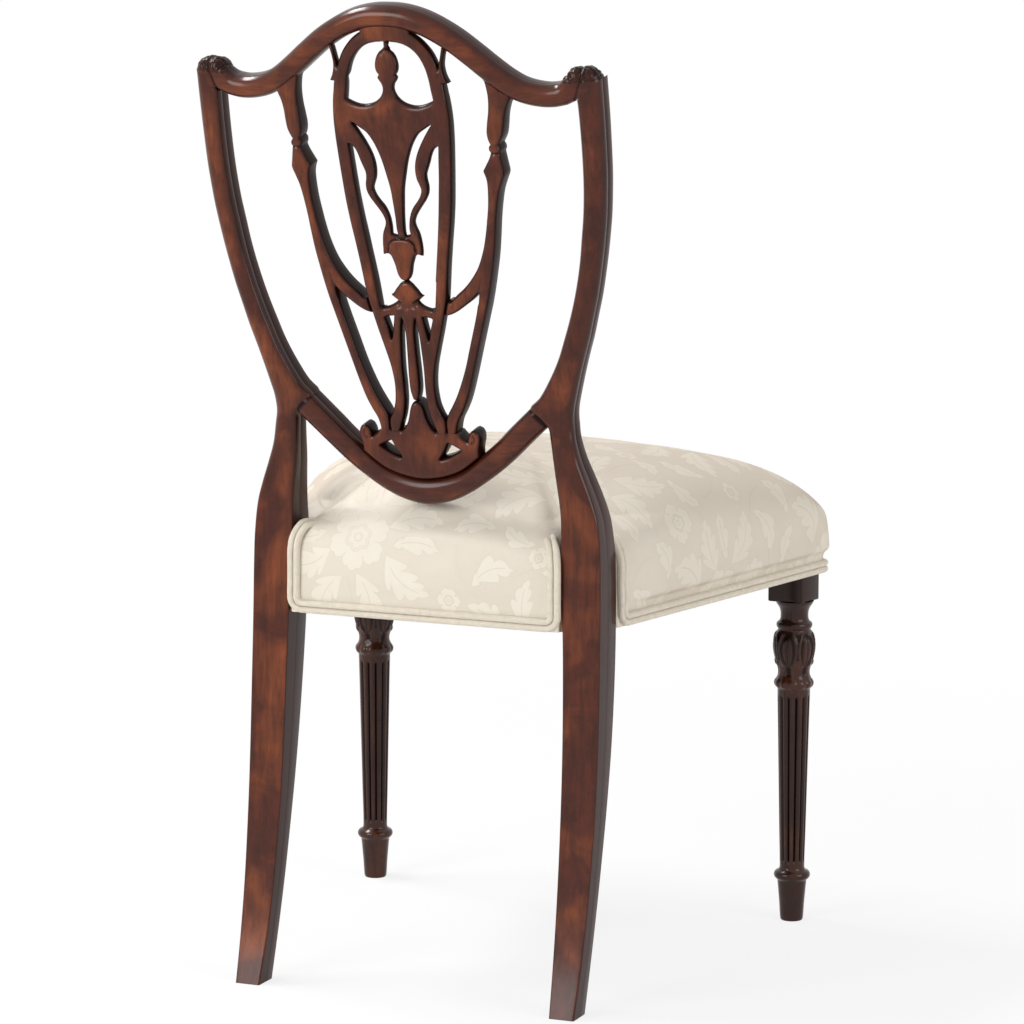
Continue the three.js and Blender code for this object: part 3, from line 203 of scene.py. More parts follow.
def distance_to(points: Array, starts: Array, ends: Array) -> Array:
    """Shortest distance from each point to a set of straight pieces in the plane.

    Args:
        points: n by 2.
        starts: m by 2 first ends.
        ends: m by 2 second ends.

    Returns:
        n distances.
    """
    along = ends - starts
    length = np.maximum((along**2).sum(1), 1e-18)
    found = []
    for part in np.array_split(points, max(1, len(points) * len(starts) // 2_000_000)):
        gap = part[:, None, :] - starts[None]
        share = np.clip((gap * along[None]).sum(2) / length, 0.0, 1.0)
        off = gap - share[..., None] * along[None]
        found.append(np.sqrt((off**2).sum(2).min(1)))
    return np.concatenate(found)


def inside(points: Array, starts: Array, ends: Array) -> Array:
    """Whether each point lies within closed loops: a ray from it crosses them an odd number of times.

    Args:
        points: n by 2.
        starts: first ends of the loops' edges.
        ends: second ends of the loops' edges.

    Returns:
        n truth values.
    """
    found = []
    for part in np.array_split(points, max(1, len(points) * len(starts) // 4_000_000)):
        x, y = part[:, :1], part[:, 1:]
        spans = (starts[None, :, 1] > y) != (ends[None, :, 1] > y)
        rise = np.where(np.abs(ends[:, 1] - starts[:, 1]) < 1e-15, 1e-15, ends[:, 1] - starts[:, 1])
        cross = starts[None, :, 0] + (y - starts[None, :, 1]) * (ends - starts)[None, :, 0] / rise
        found.append(((spans & (x < cross)).sum(1) % 2) == 1)
    return np.concatenate(found)


def beside_path(points: Array, path: Array) -> tuple[Array, Array, Array]:
    """Where points lie beside an open path.

    Args:
        points: n by 2.
        path: m by 2, in order.

    Returns:
        Distance, share of the path's length at the nearest place, and the distance counted
        positive on the left of the path.
    """
    along = np.diff(path, axis=0)
    length = np.linalg.norm(along, axis=1)
    gap = points[:, None] - path[None, :-1]
    share = np.clip((gap * along).sum(2) / length**2, 0.0, 1.0)
    reach = np.linalg.norm(gap - share[..., None] * along, axis=2)
    near = reach.argmin(1)
    row = np.arange(len(points))
    before = np.append(0.0, np.cumsum(length))[near]
    place = (before + share[row, near] * length[near]) / length.sum()
    side = along[near, 0] * gap[row, near, 1] - along[near, 1] * gap[row, near, 0]
    return reach[row, near], place, reach[row, near] * np.sign(side)


# ---- meshes ----


@dataclass
class Surface:
    """Vertices, faces and point attributes of one closed or open mesh."""

    verts: Array
    faces: list[Array]
    values: dict[str, Array] = field(default_factory=dict)

    def volume(self) -> float:
        """Six times the signed volume, from the faces' first three corners and any fourth."""
        total = 0.0
        for face in self.faces:
            for k in range(1, face.shape[1] - 1):
                a, b, c = (self.verts[face[:, i]] for i in (0, k, k + 1))
                total += float((a * np.cross(b, c)).sum())
        return total

    def outward(self) -> "Surface":
        """The same mesh with its faces turned outward."""
        if self.volume() < 0:
            self.faces = [face[:, ::-1] for face in self.faces]
        return self

    def mirrored(self) -> "Surface":
        """The mesh's mirror image in X, faces still outward."""
        faces = [face[:, ::-1] for face in self.faces]
        return Surface(flipped(self.verts), faces, dict(self.values))

    def shaded(self, openness: Array, at_ends: float) -> "Surface":
        """The same mesh, which keeps how open each point of its rings and their two ends is; the wood's
        material paints shade where this is low.
        """
        self.values["open"] = np.append(openness.ravel(), [at_ends, at_ends])
        return self

    def build(self, name: str, sharp: float = 40.0) -> bpy.types.Object:
        """Puts the arrays into a Blender mesh, smooth but for edges over an angle.

        Args:
            name: name of the object.
            sharp: angle in degrees.

        Returns:
            The object, linked to the scene.
        """
        mesh = bpy.data.meshes.new(name)
        polygons = [row for face in self.faces for row in face.tolist()]
        mesh.from_pydata(self.verts.tolist(), [], polygons)
        mesh.polygons.foreach_set("use_smooth", np.ones(len(polygons), bool))
        for key, value in self.values.items():
            layer = mesh.attributes.new(key, "FLOAT", "POINT")
            layer.data.foreach_set("value", value.astype(np.float32))
        mesh.set_sharp_from_angle(angle=math.radians(sharp))
        mesh.update()
        made = bpy.data.objects.new(name, mesh)
        bpy.context.scene.collection.objects.link(made)
        return made


def skin(rings: Array, caps: bool = True) -> Surface:
    """Skins closed rings: quads between neighbouring rings, and a fan on each end.

    Args:
        rings: rows by points by 3.
        caps: whether the ends get a fan round their middle.

    Returns:
        The surface, faces outward where it is closed.
    """
    rows, count = rings.shape[:2]
    i, j = np.meshgrid(np.arange(rows - 1), np.arange(count), indexing="ij")
    a = (i * count + j).ravel()
    b = (i * count + (j + 1) % count).ravel()
    quads = np.stack([a, b, b + count, a + count], axis=1)
    verts = rings.reshape(-1, 3)
    faces = [quads]
    if caps:
        for row, flip in ((0, True), (rows - 1, False)):
            ring = row * count + np.arange(count)
            middle = np.full(count, len(verts))
            fan = np.stack([ring, np.roll(ring, -1), middle], axis=1)
            faces.append(fan[:, ::-1] if flip else fan)
            verts = np.vstack([verts, rings[row].mean(0)])
    made = Surface(verts, faces)
    return made.outward() if caps else made


def ring_normals(rings: Array) -> Array:
    """Unit normals of closed rings, as the cross product of the steps round and along.

    Args:
        rings: rows by points by 3.

    Returns:
        Normals of the same shape, pointing out of the rings' middles.
    """
    round_step = np.roll(rings, -1, axis=1) - np.roll(rings, 1, axis=1)
    normal = unit(np.cross(round_step, np.gradient(rings, axis=0)))
    out = ((rings - rings.mean(1, keepdims=True)) * normal).sum(2).mean()
    return normal if out > 0 else -normal


# ---- the lean and hollow of the back ----


@dataclass(frozen=True)
class ShieldPlane:
    """The leaning, hollow surface that every member of the shield follows."""

    foot: float = 485 * MM
    height: float = 500 * MM
    half_span: float = 200 * MM
    rake: float = math.radians(11.5)
    bow: float = 1500 * MM
    foot_depth: float = 183.3 * MM

    def flat(self, shares: Array) -> Array:
        """Flat points from rows of [share of the half span, share of the height]."""
        shares = np.asarray(shares, float)
        return np.stack([shares[:, 0] * self.half_span, self.foot + shares[:, 1] * self.height], 1)

    def bend(self, x: Array, z: Array, depth: Array) -> Array:
        """Lays flat points on the back, at a depth in front of its rear face.

        The rear face leans back with the rake and comes forward by x squared over twice the bow.

        Args:
            x: places across.
            z: heights.
            depth: distances in front of the rear face.

        Returns:
            Points, with a last axis of 3.
        """
        rear = self.foot_depth + math.tan(self.rake) * (z - self.foot) - x * x / (2 * self.bow)
        y = rear - depth * math.cos(self.rake) + ORIGIN_SHIFT
        return np.stack(np.broadcast_arrays(x, y, z + depth * math.sin(self.rake)), axis=-1)


PLANE = ShieldPlane()


@dataclass(frozen=True)
class Moulding:
    """Section of a frame member: a rounded back, a fine line along each wall and an eased front."""

    depth: float = 27 * MM
    round_across: float = 9 * MM
    round_into: float = 8 * MM
    ease: float = 2.2 * MM
    full_into: float = 12 * MM
    line_depth: float = 0.5 * MM
    line_place: float = 13 * MM
    line_width: float = 1.1 * MM
    line_room: float = 1.5 * MM
    plain_ease: float = 1.6 * MM
    corner_points: int = 9

    def section(
        self, width: Array, depth: Array, sharpness: Array, fullness: Array, dome: Array
    ) -> tuple[Array, Array, Array]:
        """The closed section of each row: quarter ellipses at the back, small ones in front.

        Args:
            width: a row's width across.
            depth: a row's depth.
            sharpness: 1 for the moulded rounding, near 0 for a plain square section.
            fullness: 0 for the rounding as given, 1 for a back that is one half ellipse.
            dome: 0 for an eased front, 1 for a front as round as the back.

        Returns:
            Across, into and how open the surface is, each rows by points; the wood's colour is painted darker
            where it is less open, as painted shade.
        """
        w, d, s, f = width[:, None], depth[:, None], sharpness[:, None], fullness[:, None]
        t = np.linspace(0.0, math.pi / 2, self.corner_points)[None]
        u = np.linspace(0.0, math.pi / 2, 5)[None]
        ra = np.minimum(self.round_across * s + self.plain_ease * (1 - s), w * 0.48)
        ra = ra + (w * 0.495 - ra) * f
        rd = self.round_into * s + self.plain_ease * (1 - s)
        rd = rd + (self.full_into - rd) * f
        e = np.minimum(self.ease + (self.full_into - self.ease) * dome[:, None], w * 0.45)
        low_a, low_d = ra * (1 - np.cos(t)), rd * (1 - np.sin(t))
        high_a, high_d = w - low_a[:, ::-1], low_d[:, ::-1]
        mid = ra + (w - 2 * ra) * np.linspace(0, 1, 7)[None, 1:-1]
        g = np.clip(self.line_place * d / self.depth, rd + self.line_room, d - e - self.line_room)
        cut = self.line_depth * s
        wall_d = np.concatenate([g - self.line_width, g, g + self.line_width], axis=1)
        wall_a = np.concatenate([0 * g, cut, 0 * g], axis=1)
        front_high_a, front_high_d = w - e * (1 - np.cos(u)), d - e * (1 - np.sin(u))
        front_low_a, front_low_d = e * (1 - np.cos(u[:, ::-1])), d - e * (1 - np.sin(u[:, ::-1]))
        across = np.concatenate(
            [low_a, mid, high_a, w - wall_a, front_high_a, front_low_a, wall_a[:, ::-1]], axis=1
        )
        into = np.concatenate(
            [low_d, 0 * mid, high_d, wall_d, front_high_d, front_low_d, wall_d[:, ::-1]], axis=1
        )
        # Painted shade: openness falls on the rounded corners, is low on the walls and the front, and 0 in
        # the fine line along each wall
        corner, front = 0.35 + 0.65 * np.sin(t[0]) ** 2, np.full(10, 0.4)
        one = np.concatenate(
            [corner, np.ones(5), corner[::-1], [0.3, 0.0, 0.25], front, [0.25, 0.0, 0.3]]
        )
        return across, into, np.broadcast_to(one, across.shape)


def moulded_rings(
    low: Array,
    high: Array,
    moulding: Moulding,
    fullness: Array | float,
    dome: Array | float = 0.0,
) -> tuple[Array, Array]:
    """Rings of a shield member between two flat edge lines.

    Args:
        low: rows of flat points on one edge.
        high: rows on the other edge.
        moulding: the section.
        fullness: how near each row's back is to a half ellipse.
        dome: how round each row's front is.

    Returns:
        Rings, rows by points by 3, and how open each point is.
    """
    width = np.linalg.norm(high - low, axis=1)
    one = np.ones(len(low))
    across, into, open_back = moulding.section(
        width, moulding.depth * one, one, fullness * one, dome * one
    )
    share = across / width[:, None]
    x = low[:, :1] + (high - low)[:, :1] * share
    z = low[:, 1:] + (high - low)[:, 1:] * share
    return PLANE.bend(x, z, into), open_back


# ---- finishes ----

COLOR, FLOAT, VECTOR = "NodeSocketColor", "NodeSocketFloat", "NodeSocketVector"


class Wire:
    """A node's output that can be reckoned with; each sum or product adds a Math node."""

    def __init__(self, nodes: "Nodes", socket: bpy.types.NodeSocket) -> None:
        """Keeps the socket and the calls of its tree."""
        self.nodes = nodes
        self.socket = socket

    def __add__(self, other: "Wire | float") -> "Wire":
        """This plus the other."""
        return self.nodes.math("ADD", self, other)

    def __sub__(self, other: "Wire | float") -> "Wire":
        """This minus the other."""
        return self.nodes.math("SUBTRACT", self, other)

    def __rsub__(self, other: float) -> "Wire":
        """A number minus this."""
        return self.nodes.math("SUBTRACT", other, self)

    def __mul__(self, other: "Wire | float") -> "Wire":
        """This times the other."""
        return self.nodes.math("MULTIPLY", self, other)

    def __truediv__(self, other: "Wire | float") -> "Wire":
        """This over the other."""
        return self.nodes.math("DIVIDE", self, other)

    def __pow__(self, power: float) -> "Wire":
        """This raised to a power."""
        return self.nodes.math("POWER", self, power)

    def __abs__(self) -> "Wire":
        """This without its sign."""
        return self.nodes.math("ABSOLUTE", self)

    def at_least(self, low: "Wire | float") -> "Wire":
        """The greater of this and the other."""
        return self.nodes.math("MAXIMUM", self, low)

    def at_most(self, high: "Wire | float") -> "Wire":
        """The lesser of this and the other."""
        return self.nodes.math("MINIMUM", self, high)


class Nodes:
    """Short calls that lay out a shader node tree."""

    def __init__(self, tree: bpy.types.NodeTree, sink: bpy.types.Node | None = None) -> None:
        """Keeps the tree, and the node that takes what the tree gives."""
        self.tree = tree
        self.sink = sink

    def feed(self, node: bpy.types.Node, links: dict) -> None:
        """Feeds a node's inputs, by name or number, with values or wires."""
        for key, value in links.items():
            if isinstance(value, Wire):
                self.tree.links.new(value.socket, node.inputs[key])
            else:
                node.inputs[key].default_value = value

    def give(self, links: dict) -> None:
        """Feeds the tree's last node."""
        self.feed(self.sink, links)

    def add(self, kind: str, links: dict | None = None, **settings) -> bpy.types.Node:
        """Adds a node, sets its properties and feeds its inputs."""
        node = self.tree.nodes.new(kind)
        for key, value in settings.items():
            setattr(node, key, value)
        self.feed(node, links or {})
        return node

    def wire(self, kind: str, output: int | str, links: dict | None = None, **settings) -> Wire:
        """Adds a node and takes one of its outputs.

        Args:
            kind: Blender's name of the node type.
            output: number or name of the output.
            links: input name or number to a value or a wire.
            settings: properties of the node.

        Returns:
            The output.
        """
        return Wire(self, self.add(kind, links, **settings).outputs[output])

    def group(self, tree: bpy.types.NodeTree, links: dict) -> dict[str, Wire]:
        """Adds a node that holds a group, and gives its outputs by name."""
        node = self.add("ShaderNodeGroup", links, node_tree=tree)
        return {socket.name: Wire(self, socket) for socket in node.outputs}

    def math(self, operation: str, *values: Wire | float) -> Wire:
        """A Math node's output for the given values."""
        return self.wire("ShaderNodeMath", 0, dict(enumerate(values)), operation=operation)

    def ramp(self, value: Wire, low: float, high: float, to_low: float = 0.0, to_high: float = 1.0) -> Wire:
        """A clamped Map Range from low..high to to_low..to_high."""
        links = {"Value": value, "From Min": low, "From Max": high, "To Min": to_low, "To Max": to_high}
        return self.wire("ShaderNodeMapRange", 0, links)

    def mix(self, share: Wire | float, first: Wire | tuple, second: Wire | tuple) -> Wire:
        """A colour mix, where share 0 is the first and 1 the second."""
        return self.wire("ShaderNodeMix", 2, {0: share, 6: first, 7: second}, data_type="RGBA")

    def noise(self, place: Wire, scale: float, detail: float, distortion: float = 0.0) -> Wire:
        """A Noise Texture's value."""
        links = {"Vector": place, "Scale": scale, "Detail": detail, "Distortion": distortion}
        return self.wire("ShaderNodeTexNoise", 0, links)

    def bump(self, height: Wire, strength: float, distance: float) -> Wire:
        """A Bump's normal."""
        return self.wire("ShaderNodeBump", 0, {"Height": height, "Strength": strength, "Distance": distance})

    def attribute(self, name: str) -> Wire:
        """A point attribute's value."""
        return self.wire("ShaderNodeAttribute", "Fac", attribute_name=name)

    def seen(self) -> Wire:
        """1 on rays from the camera, from a reflection or through glass, else 0."""
        path = self.add("ShaderNodeLightPath").outputs
        kinds = ("Camera", "Transmission", "Glossy")
        camera, through, glossy = (Wire(self, path[f"Is {kind} Ray"]) for kind in kinds)
        return camera.at_least(through).at_least(glossy)


def node_group(name: str, inputs: dict[str, tuple], outputs: dict[str, str]) -> tuple[Nodes, dict[str, Wire]]:
    """Makes an empty shader node group.

    Args:
        name: name of the group.
        inputs: name to (socket type, default or None).
        outputs: name to socket type.

    Returns:
        The group's Nodes, whose last node is its output, and its inputs by name.
    """
    tree = bpy.data.node_groups.new(name, "ShaderNodeTree")
    for key, (kind, default) in inputs.items():
        socket = tree.interface.new_socket(name=key, in_out="INPUT", socket_type=kind)
        if default is not None:
            socket.default_value = default
    for key, kind in outputs.items():
        tree.interface.new_socket(name=key, in_out="OUTPUT", socket_type=kind)
    n = Nodes(tree)
    n.sink = n.add("NodeGroupOutput")
    source = n.add("NodeGroupInput")
    return n, {key: Wire(n, source.outputs[key]) for key in inputs}


def wood_figure_group() -> bpy.types.NodeTree:
    """Group that gives timber its streaks, pores and worn patches, and darkens it where Open is low: painted
    shade on walls, edges and in hollows, together with a dark glaze in the recesses.
    """
    inputs = {
        "Vector": (VECTOR, None),
        "Dark": (COLOR, (0.02, 0.006, 0.004, 1)),
        "Main": (COLOR, (0.1, 0.03, 0.016, 1)),
        "Warm": (COLOR, (0.2, 0.06, 0.02, 1)),
        "Open": (FLOAT, 1.0),
        "Worn": (FLOAT, 0.5),
        "Grain": (VECTOR, (1.0, 1.0, 0.09)),
    }
    outputs = {"Color": COLOR, "Roughness": FLOAT, "Height": FLOAT, "Gloss": FLOAT}
    n, put = node_group("wood_figure", inputs, outputs)
    place, dark, main, opened = put["Vector"], put["Dark"], put["Main"], put["Open"]
    grain = n.wire("ShaderNodeVectorMath", 0, {0: place, 1: put["Grain"]}, operation="MULTIPLY")
    streak, fine = n.noise(grain, 150, 5, 0.6), n.noise(grain, 700, 3)
    patch, blotch = n.noise(place, 15, 3, 0.5), n.noise(place, 48, 4)
    tone = n.ramp(streak, 0.32, 0.68, 0.0, 0.6) + n.ramp(blotch, 0.35, 0.68, 0.0, 0.4)
    body = n.mix(tone, n.mix(0.62, main, dark), main)
    worn = n.ramp(patch, 0.46, 0.72) * put["Worn"] * n.ramp(opened, 0.55, 1.0)
    warm = n.mix(worn * n.ramp(streak, 0.3, 0.62, 0.35, 1.0), body, put["Warm"])
    pored = n.mix(n.ramp(fine, 0.28, 0.42, 0.35, 0.0), warm, dark)
    n.give({
        # Painted shade: the colour turns to Dark where Open is low, on walls, edges and in hollows, along
        # with a dark glaze there
        "Color": n.mix(n.ramp(opened, 0.0, 0.8, 0.94, 0.0), pored, dark),
        "Roughness": n.ramp(blotch, 0.3, 0.7, 0.24, 0.34) + n.ramp(opened, 0.0, 0.6, 0.08, 0.0),
        "Gloss": n.ramp(opened, 0.1, 0.55, 0.3, 1.0),
        "Height": streak * 0.35 + patch * 0.65,
    })
    return n.tree


def cloth_weave_group() -> bpy.types.NodeTree:
    """Group that gives cloth its threads: crossed waves in three directions and a slub noise."""
    inputs = {"Vector": (VECTOR, None), "Pitch": (FLOAT, 900.0)}
    n, put = node_group("cloth_weave", inputs, {"Height": FLOAT, "Fleck": FLOAT})
    place = put["Vector"]
    scaled = n.wire("ShaderNodeVectorMath", 0, {0: place, "Scale": put["Pitch"]}, operation="SCALE")
    axes = n.add("ShaderNodeSeparateXYZ", {0: scaled}).outputs
    x, y, z = (n.math("SINE", Wire(n, axis) * (2 * math.pi)) for axis in axes)
    n.give({
        "Height": (x * y + y * z) * 0.3 + n.noise(place, 420, 2),
        "Fleck": n.ramp(n.noise(place, 160, 3), 0.3, 0.7),
    })
    return n.tree


class Substance:
    """Base of the materials: a subclass gives the inputs of its Principled shader."""

    name: str

    def inputs(self, n: Nodes, place: Wire, groups: dict) -> dict:
        """The shader's inputs.

        Args:
            n: the material's nodes.
            place: the object's own coordinates.
            groups: the shared node groups by name.

        Returns:
            Input name to value or wire.
        """
        raise NotImplementedError

    def material(self, groups: dict) -> bpy.types.Material:
        """Makes the material."""
        made = bpy.data.materials.new(self.name)
        made.use_nodes = True
        n = Nodes(made.node_tree, made.node_tree.nodes["Principled BSDF"])
        n.give(self.inputs(n, n.wire("ShaderNodeTexCoord", "Object"), groups))
        return made


@dataclass(frozen=True)
class Mahogany(Substance):
    """Dark red-brown stain under a satin polish, worn to amber on the open faces."""

    name: str = "polished_mahogany"
    dark: tuple = (0.0065, 0.0022, 0.0014, 1)
    main: tuple = (0.092, 0.0175, 0.0068, 1)
    warm: tuple = (0.25, 0.06, 0.0155, 1)
    worn: float = 0.9
    polish: float = 0.5
    grain: tuple = (1.0, 1.0, 0.09)

    def inputs(self, n: Nodes, place: Wire, groups: dict) -> dict:
        """The wood figure under a clear coat that dulls in the hollows."""
        figure = n.group(groups["wood_figure"], {
            "Vector": place, "Dark": self.dark, "Main": self.main, "Warm": self.warm,
            "Worn": self.worn, "Grain": self.grain, "Open": n.attribute("open"),
        })
        return {
            "Base Color": figure["Color"],
            "Roughness": figure["Roughness"],
            "Normal": n.bump(figure["Height"], 0.25, 0.6 * MM),
            "Specular IOR Level": 0.04,
            "Coat Weight": figure["Gloss"] * self.polish,
            "Coat Roughness": 0.18,
        }


@dataclass(frozen=True)
class PlainTimber(Substance):
    """Bare planed timber of the seat frame."""

    name: str = "planed_timber"
    dark: tuple = (0.16, 0.085, 0.035, 1)
    main: tuple = (0.4, 0.25, 0.12, 1)
    warm: tuple = (0.5, 0.33, 0.17, 1)

    def inputs(self, n: Nodes, place: Wire, groups: dict) -> dict:
        """The same wood figure in pale colours, without a coat."""
        links = {"Vector": place, "Dark": self.dark, "Main": self.main, "Warm": self.warm}
        figure = n.group(groups["wood_figure"], links)
        bump = n.bump(figure["Height"], 0.2, 0.4 * MM)
        return {"Base Color": figure["Color"], "Roughness": 0.65, "Normal": bump}


@dataclass(frozen=True)
class Steel(Substance):
    """Plain steel of the brace screws."""

    name: str = "screw_steel"
    color: tuple = (0.42, 0.43, 0.45, 1)

    def inputs(self, n: Nodes, place: Wire, groups: dict) -> dict:
        """A metal whose polish is broken by a fine noise."""
        rough = n.ramp(n.noise(place, 900, 2), 0.3, 0.7, 0.3, 0.5)
        return {"Base Color": self.color, "Metallic": 1.0, "Roughness": rough}


@dataclass(frozen=True)
class Cloth(Substance):
    """A woven cloth in one colour, with a slight mottle."""

    name: str
    color: tuple
    shade: tuple
    pitch: float = 1100.0
    roughness: float = 0.85
    depth: float = 0.25 * MM
    sheen: float = 0.15

    def inputs(self, n: Nodes, place: Wire, groups: dict) -> dict:
        """The weave, read on the object's own coordinates."""
        weave = n.group(groups["cloth_weave"], {"Vector": place, "Pitch": self.pitch})
        return {
            "Base Color": n.mix(weave["Fleck"], self.shade, self.color),
            "Roughness": self.roughness,
            "Normal": n.bump(weave["Height"], 0.5, self.depth),
            "Sheen Weight": self.sheen,
        }


@dataclass(frozen=True)
class DamaskRepeat:
    """A drop repeat of blossoms and lobed leaves, drawn in shader nodes on flat cloth coordinates.

    The repeat is the same after half a turn, so a cloth point is first moved into the base cell
    and, below its middle, turned about it. Later motifs lie over earlier ones.
    """

    width: float = 0.2
    height: float = 0.24
    outline: float = 0.7 * MM
    echo_pitch: float = 4.2 * MM
    shift: tuple = (0.072, -0.03)
    leaf_keys: tuple = ("Length", "Width", "Bend", "Lobes")
    blossom_keys: tuple = ("Radius", "Petals")
    # Middle across and along, turn in degrees, then what the leaf's keys name
    leaves: tuple = (
        (0.018, 0.08, 72, 0.08, 0.0024, 0.012, 0), (-0.083, 0.088, 118, 0.06, 0.0022, 0.01, 0),
        (0.07, 0.03, -30, 0.066, 0.0022, -0.012, 0), (-0.03, 0.1, 10, 0.06, 0.002, -0.009, 0),
        (0.06, 0.018, 8, 0.058, 0.016, 0.009, 3.6), (0.045, 0.058, 50, 0.064, 0.018, -0.011, 3.6),
        (-0.008, 0.066, 98, 0.062, 0.016, 0.01, 3.6), (-0.052, 0.043, 140, 0.062, 0.018, -0.01, 3.6),
        (-0.064, 0.008, 176, 0.05, 0.013, 0.006, 2.6), (-0.052, 0.094, 26, 0.054, 0.014, 0.009, 2.6),
        (0.078, 0.1, 14, 0.046, 0.013, -0.008, 2.6), (0.028, 0.104, -22, 0.042, 0.011, 0.008, 2.6),
    )
    # Middle across and along, turn in degrees, radius and petals
    blossoms: tuple = (
        (0.0, 0.0, 15, 0.034, 6), (0.1, 0.06, 30, 0.022, 5),
        (-0.1, 0.06, 0, 0.013, 5), (0.0, 0.12, 45, 0.012, 5),
    )

    def motif(self, name: str, own: tuple) -> tuple[Nodes, dict[str, Wire], Wire, Wire]:
        """An empty motif's group.

        Args:
            name: name of the group.
            own: the inputs that only this kind of motif has.

        Returns:
            Its Nodes, its inputs, and the point's place along and across the moved and turned motif.
        """
        keys = ("X", "Y", "Edge", "Line", "Centre X", "Centre Y", "Cosine", "Sine", *own)
        n, put = node_group(name, {key: (FLOAT, 0.0) for key in keys}, {"Edge": FLOAT, "Line": FLOAT})
        x, y = put["X"] - put["Centre X"], put["Y"] - put["Centre Y"]
        cosine, sine = put["Cosine"], put["Sine"]
        return n, put, x * cosine + y * sine, y * cosine - x * sine

    def laid_over(self, n: Nodes, put: dict, edge: Wire, line: Wire) -> bpy.types.NodeTree:
        """Lays a motif over what is there: its lines and outline win where the point is inside it."""
        change = line.at_most(abs(edge)) - put["Line"]
        inside_it = n.math("GREATER_THAN", edge, 0.0)
        n.give({"Edge": put["Edge"].at_least(edge), "Line": inside_it * change + put["Line"]})
        return n.tree

    def leaf_group(self) -> bpy.types.NodeTree:
        """A leaf of half width W (1 - q) (0.42 + 0.58 |sin(pi k s)|^0.7), q = 4 t t.

        Its spine is bent by B (q - 0.4). t runs along the leaf, and s is t drawn back towards the
        tip by the distance off the spine.
        """
        n, put, along, across = self.motif("damask_leaf", self.leaf_keys)
        length = put["Length"]
        t = along / length
        q = t * t * 4.0
        off = abs((q - 0.4) * put["Bend"] + across)
        slope = (off * -1.1 + along) / length
        wave = abs(n.math("SINE", slope * put["Lobes"] * math.pi))
        half = put["Width"] * (1.0 - q).at_least(0.0) * (wave**0.7 * 0.58 + 0.42)
        edge = half - off - (q - 1.0).at_least(0.0) * length * 0.3
        return self.laid_over(n, put, edge, (q - 0.35).at_least(0.0) * 0.004 + off)

    def blossom_group(self) -> bpy.types.NodeTree:
        """A blossom of reach R (0.66 + 0.28 lobe^0.6 + 0.07 frill).

        lobe is |cos(p a / 2)| and frill |cos(1.5 p a)|, for the angle a and p petals. Lines part
        the petals' outer halves and draw a small double flower and a heart.
        """
        n, put, along, across = self.motif("damask_blossom", self.blossom_keys)
        radius = put["Radius"]
        reach = n.math("SQRT", along * along + across * across)
        angle = n.math("ARCTAN2", across, along) * put["Petals"]
        lobe = abs(n.math("COSINE", angle * 0.5))
        soft = lobe**0.6
        frill = abs(n.math("COSINE", angle * 1.5))
        rim = (soft * 0.28 + 0.66 + frill * 0.07) * radius
        share = reach / radius
        gap = lobe * reach * 0.33 + (0.6 - share).at_least(0.0) * 0.1
        row = abs(abs(share - (soft * 0.12 + 0.27)) - 0.035) * radius
        heart = abs(share - 0.12) * radius
        return self.laid_over(n, put, rim - reach, gap.at_most(row).at_most(heart))

    def group(self) -> bpy.types.NodeTree:
        """The whole repeat: from cloth coordinates U and V to masks of the motifs and their lines."""
        kinds = (
            (self.leaf_group(), self.leaf_keys, self.leaves),
            (self.blossom_group(), self.blossom_keys, self.blossoms),
        )
        inputs = {"U": (FLOAT, 0.0), "V": (FLOAT, 0.0)}
        n, put = node_group("damask_repeat", inputs, {"Flower": FLOAT, "Line": FLOAT, "Echo": FLOAT})
        u, v = put["U"] - self.shift[0], put["V"] - self.shift[1]
        column = n.math("ROUND", u / self.width)
        u = column * -self.width + u
        v = column * (-self.height / 2) + v
        v = n.math("ROUND", v / self.height) * -self.height + v
        turn = n.math("GREATER_THAN", v, 0.0) * 2.0 - 1.0
        point = {"X": u * turn, "Y": v * turn}
        drawn = {"Edge": -1.0, "Line": 1.0}
        for kind, keys, motifs in kinds:
            for x, y, degrees, *sizes in motifs:
                cosine, sine = math.cos(math.radians(degrees)), math.sin(math.radians(degrees))
                place = {"Centre X": x, "Centre Y": y, "Cosine": cosine, "Sine": sine}
                own = {key: float(size) for key, size in zip(keys, sizes)}
                drawn = n.group(kind, {**point, **drawn, **place, **own})
        edge, line = drawn["Edge"], drawn["Line"]
        flower = n.ramp(edge, -self.outline / 2, self.outline / 2)
        inner = n.ramp(line, self.outline * 0.35, self.outline * 1.1, 1.0, 0.0) * flower
        rim = n.ramp(abs(edge), self.outline * 0.3, self.outline * 1.2, 0.7, 0.0)
        echo = n.math("SINE", edge * (2 * math.pi / self.echo_pitch)).at_least(0.0)
        near = n.ramp(edge, -12 * MM, -3 * MM) * n.ramp(edge, -2 * MM, -1 * MM, 1.0, 0.0)
        n.give({"Flower": flower, "Line": inner.at_least(rim), "Echo": echo * near})
        return n.tree


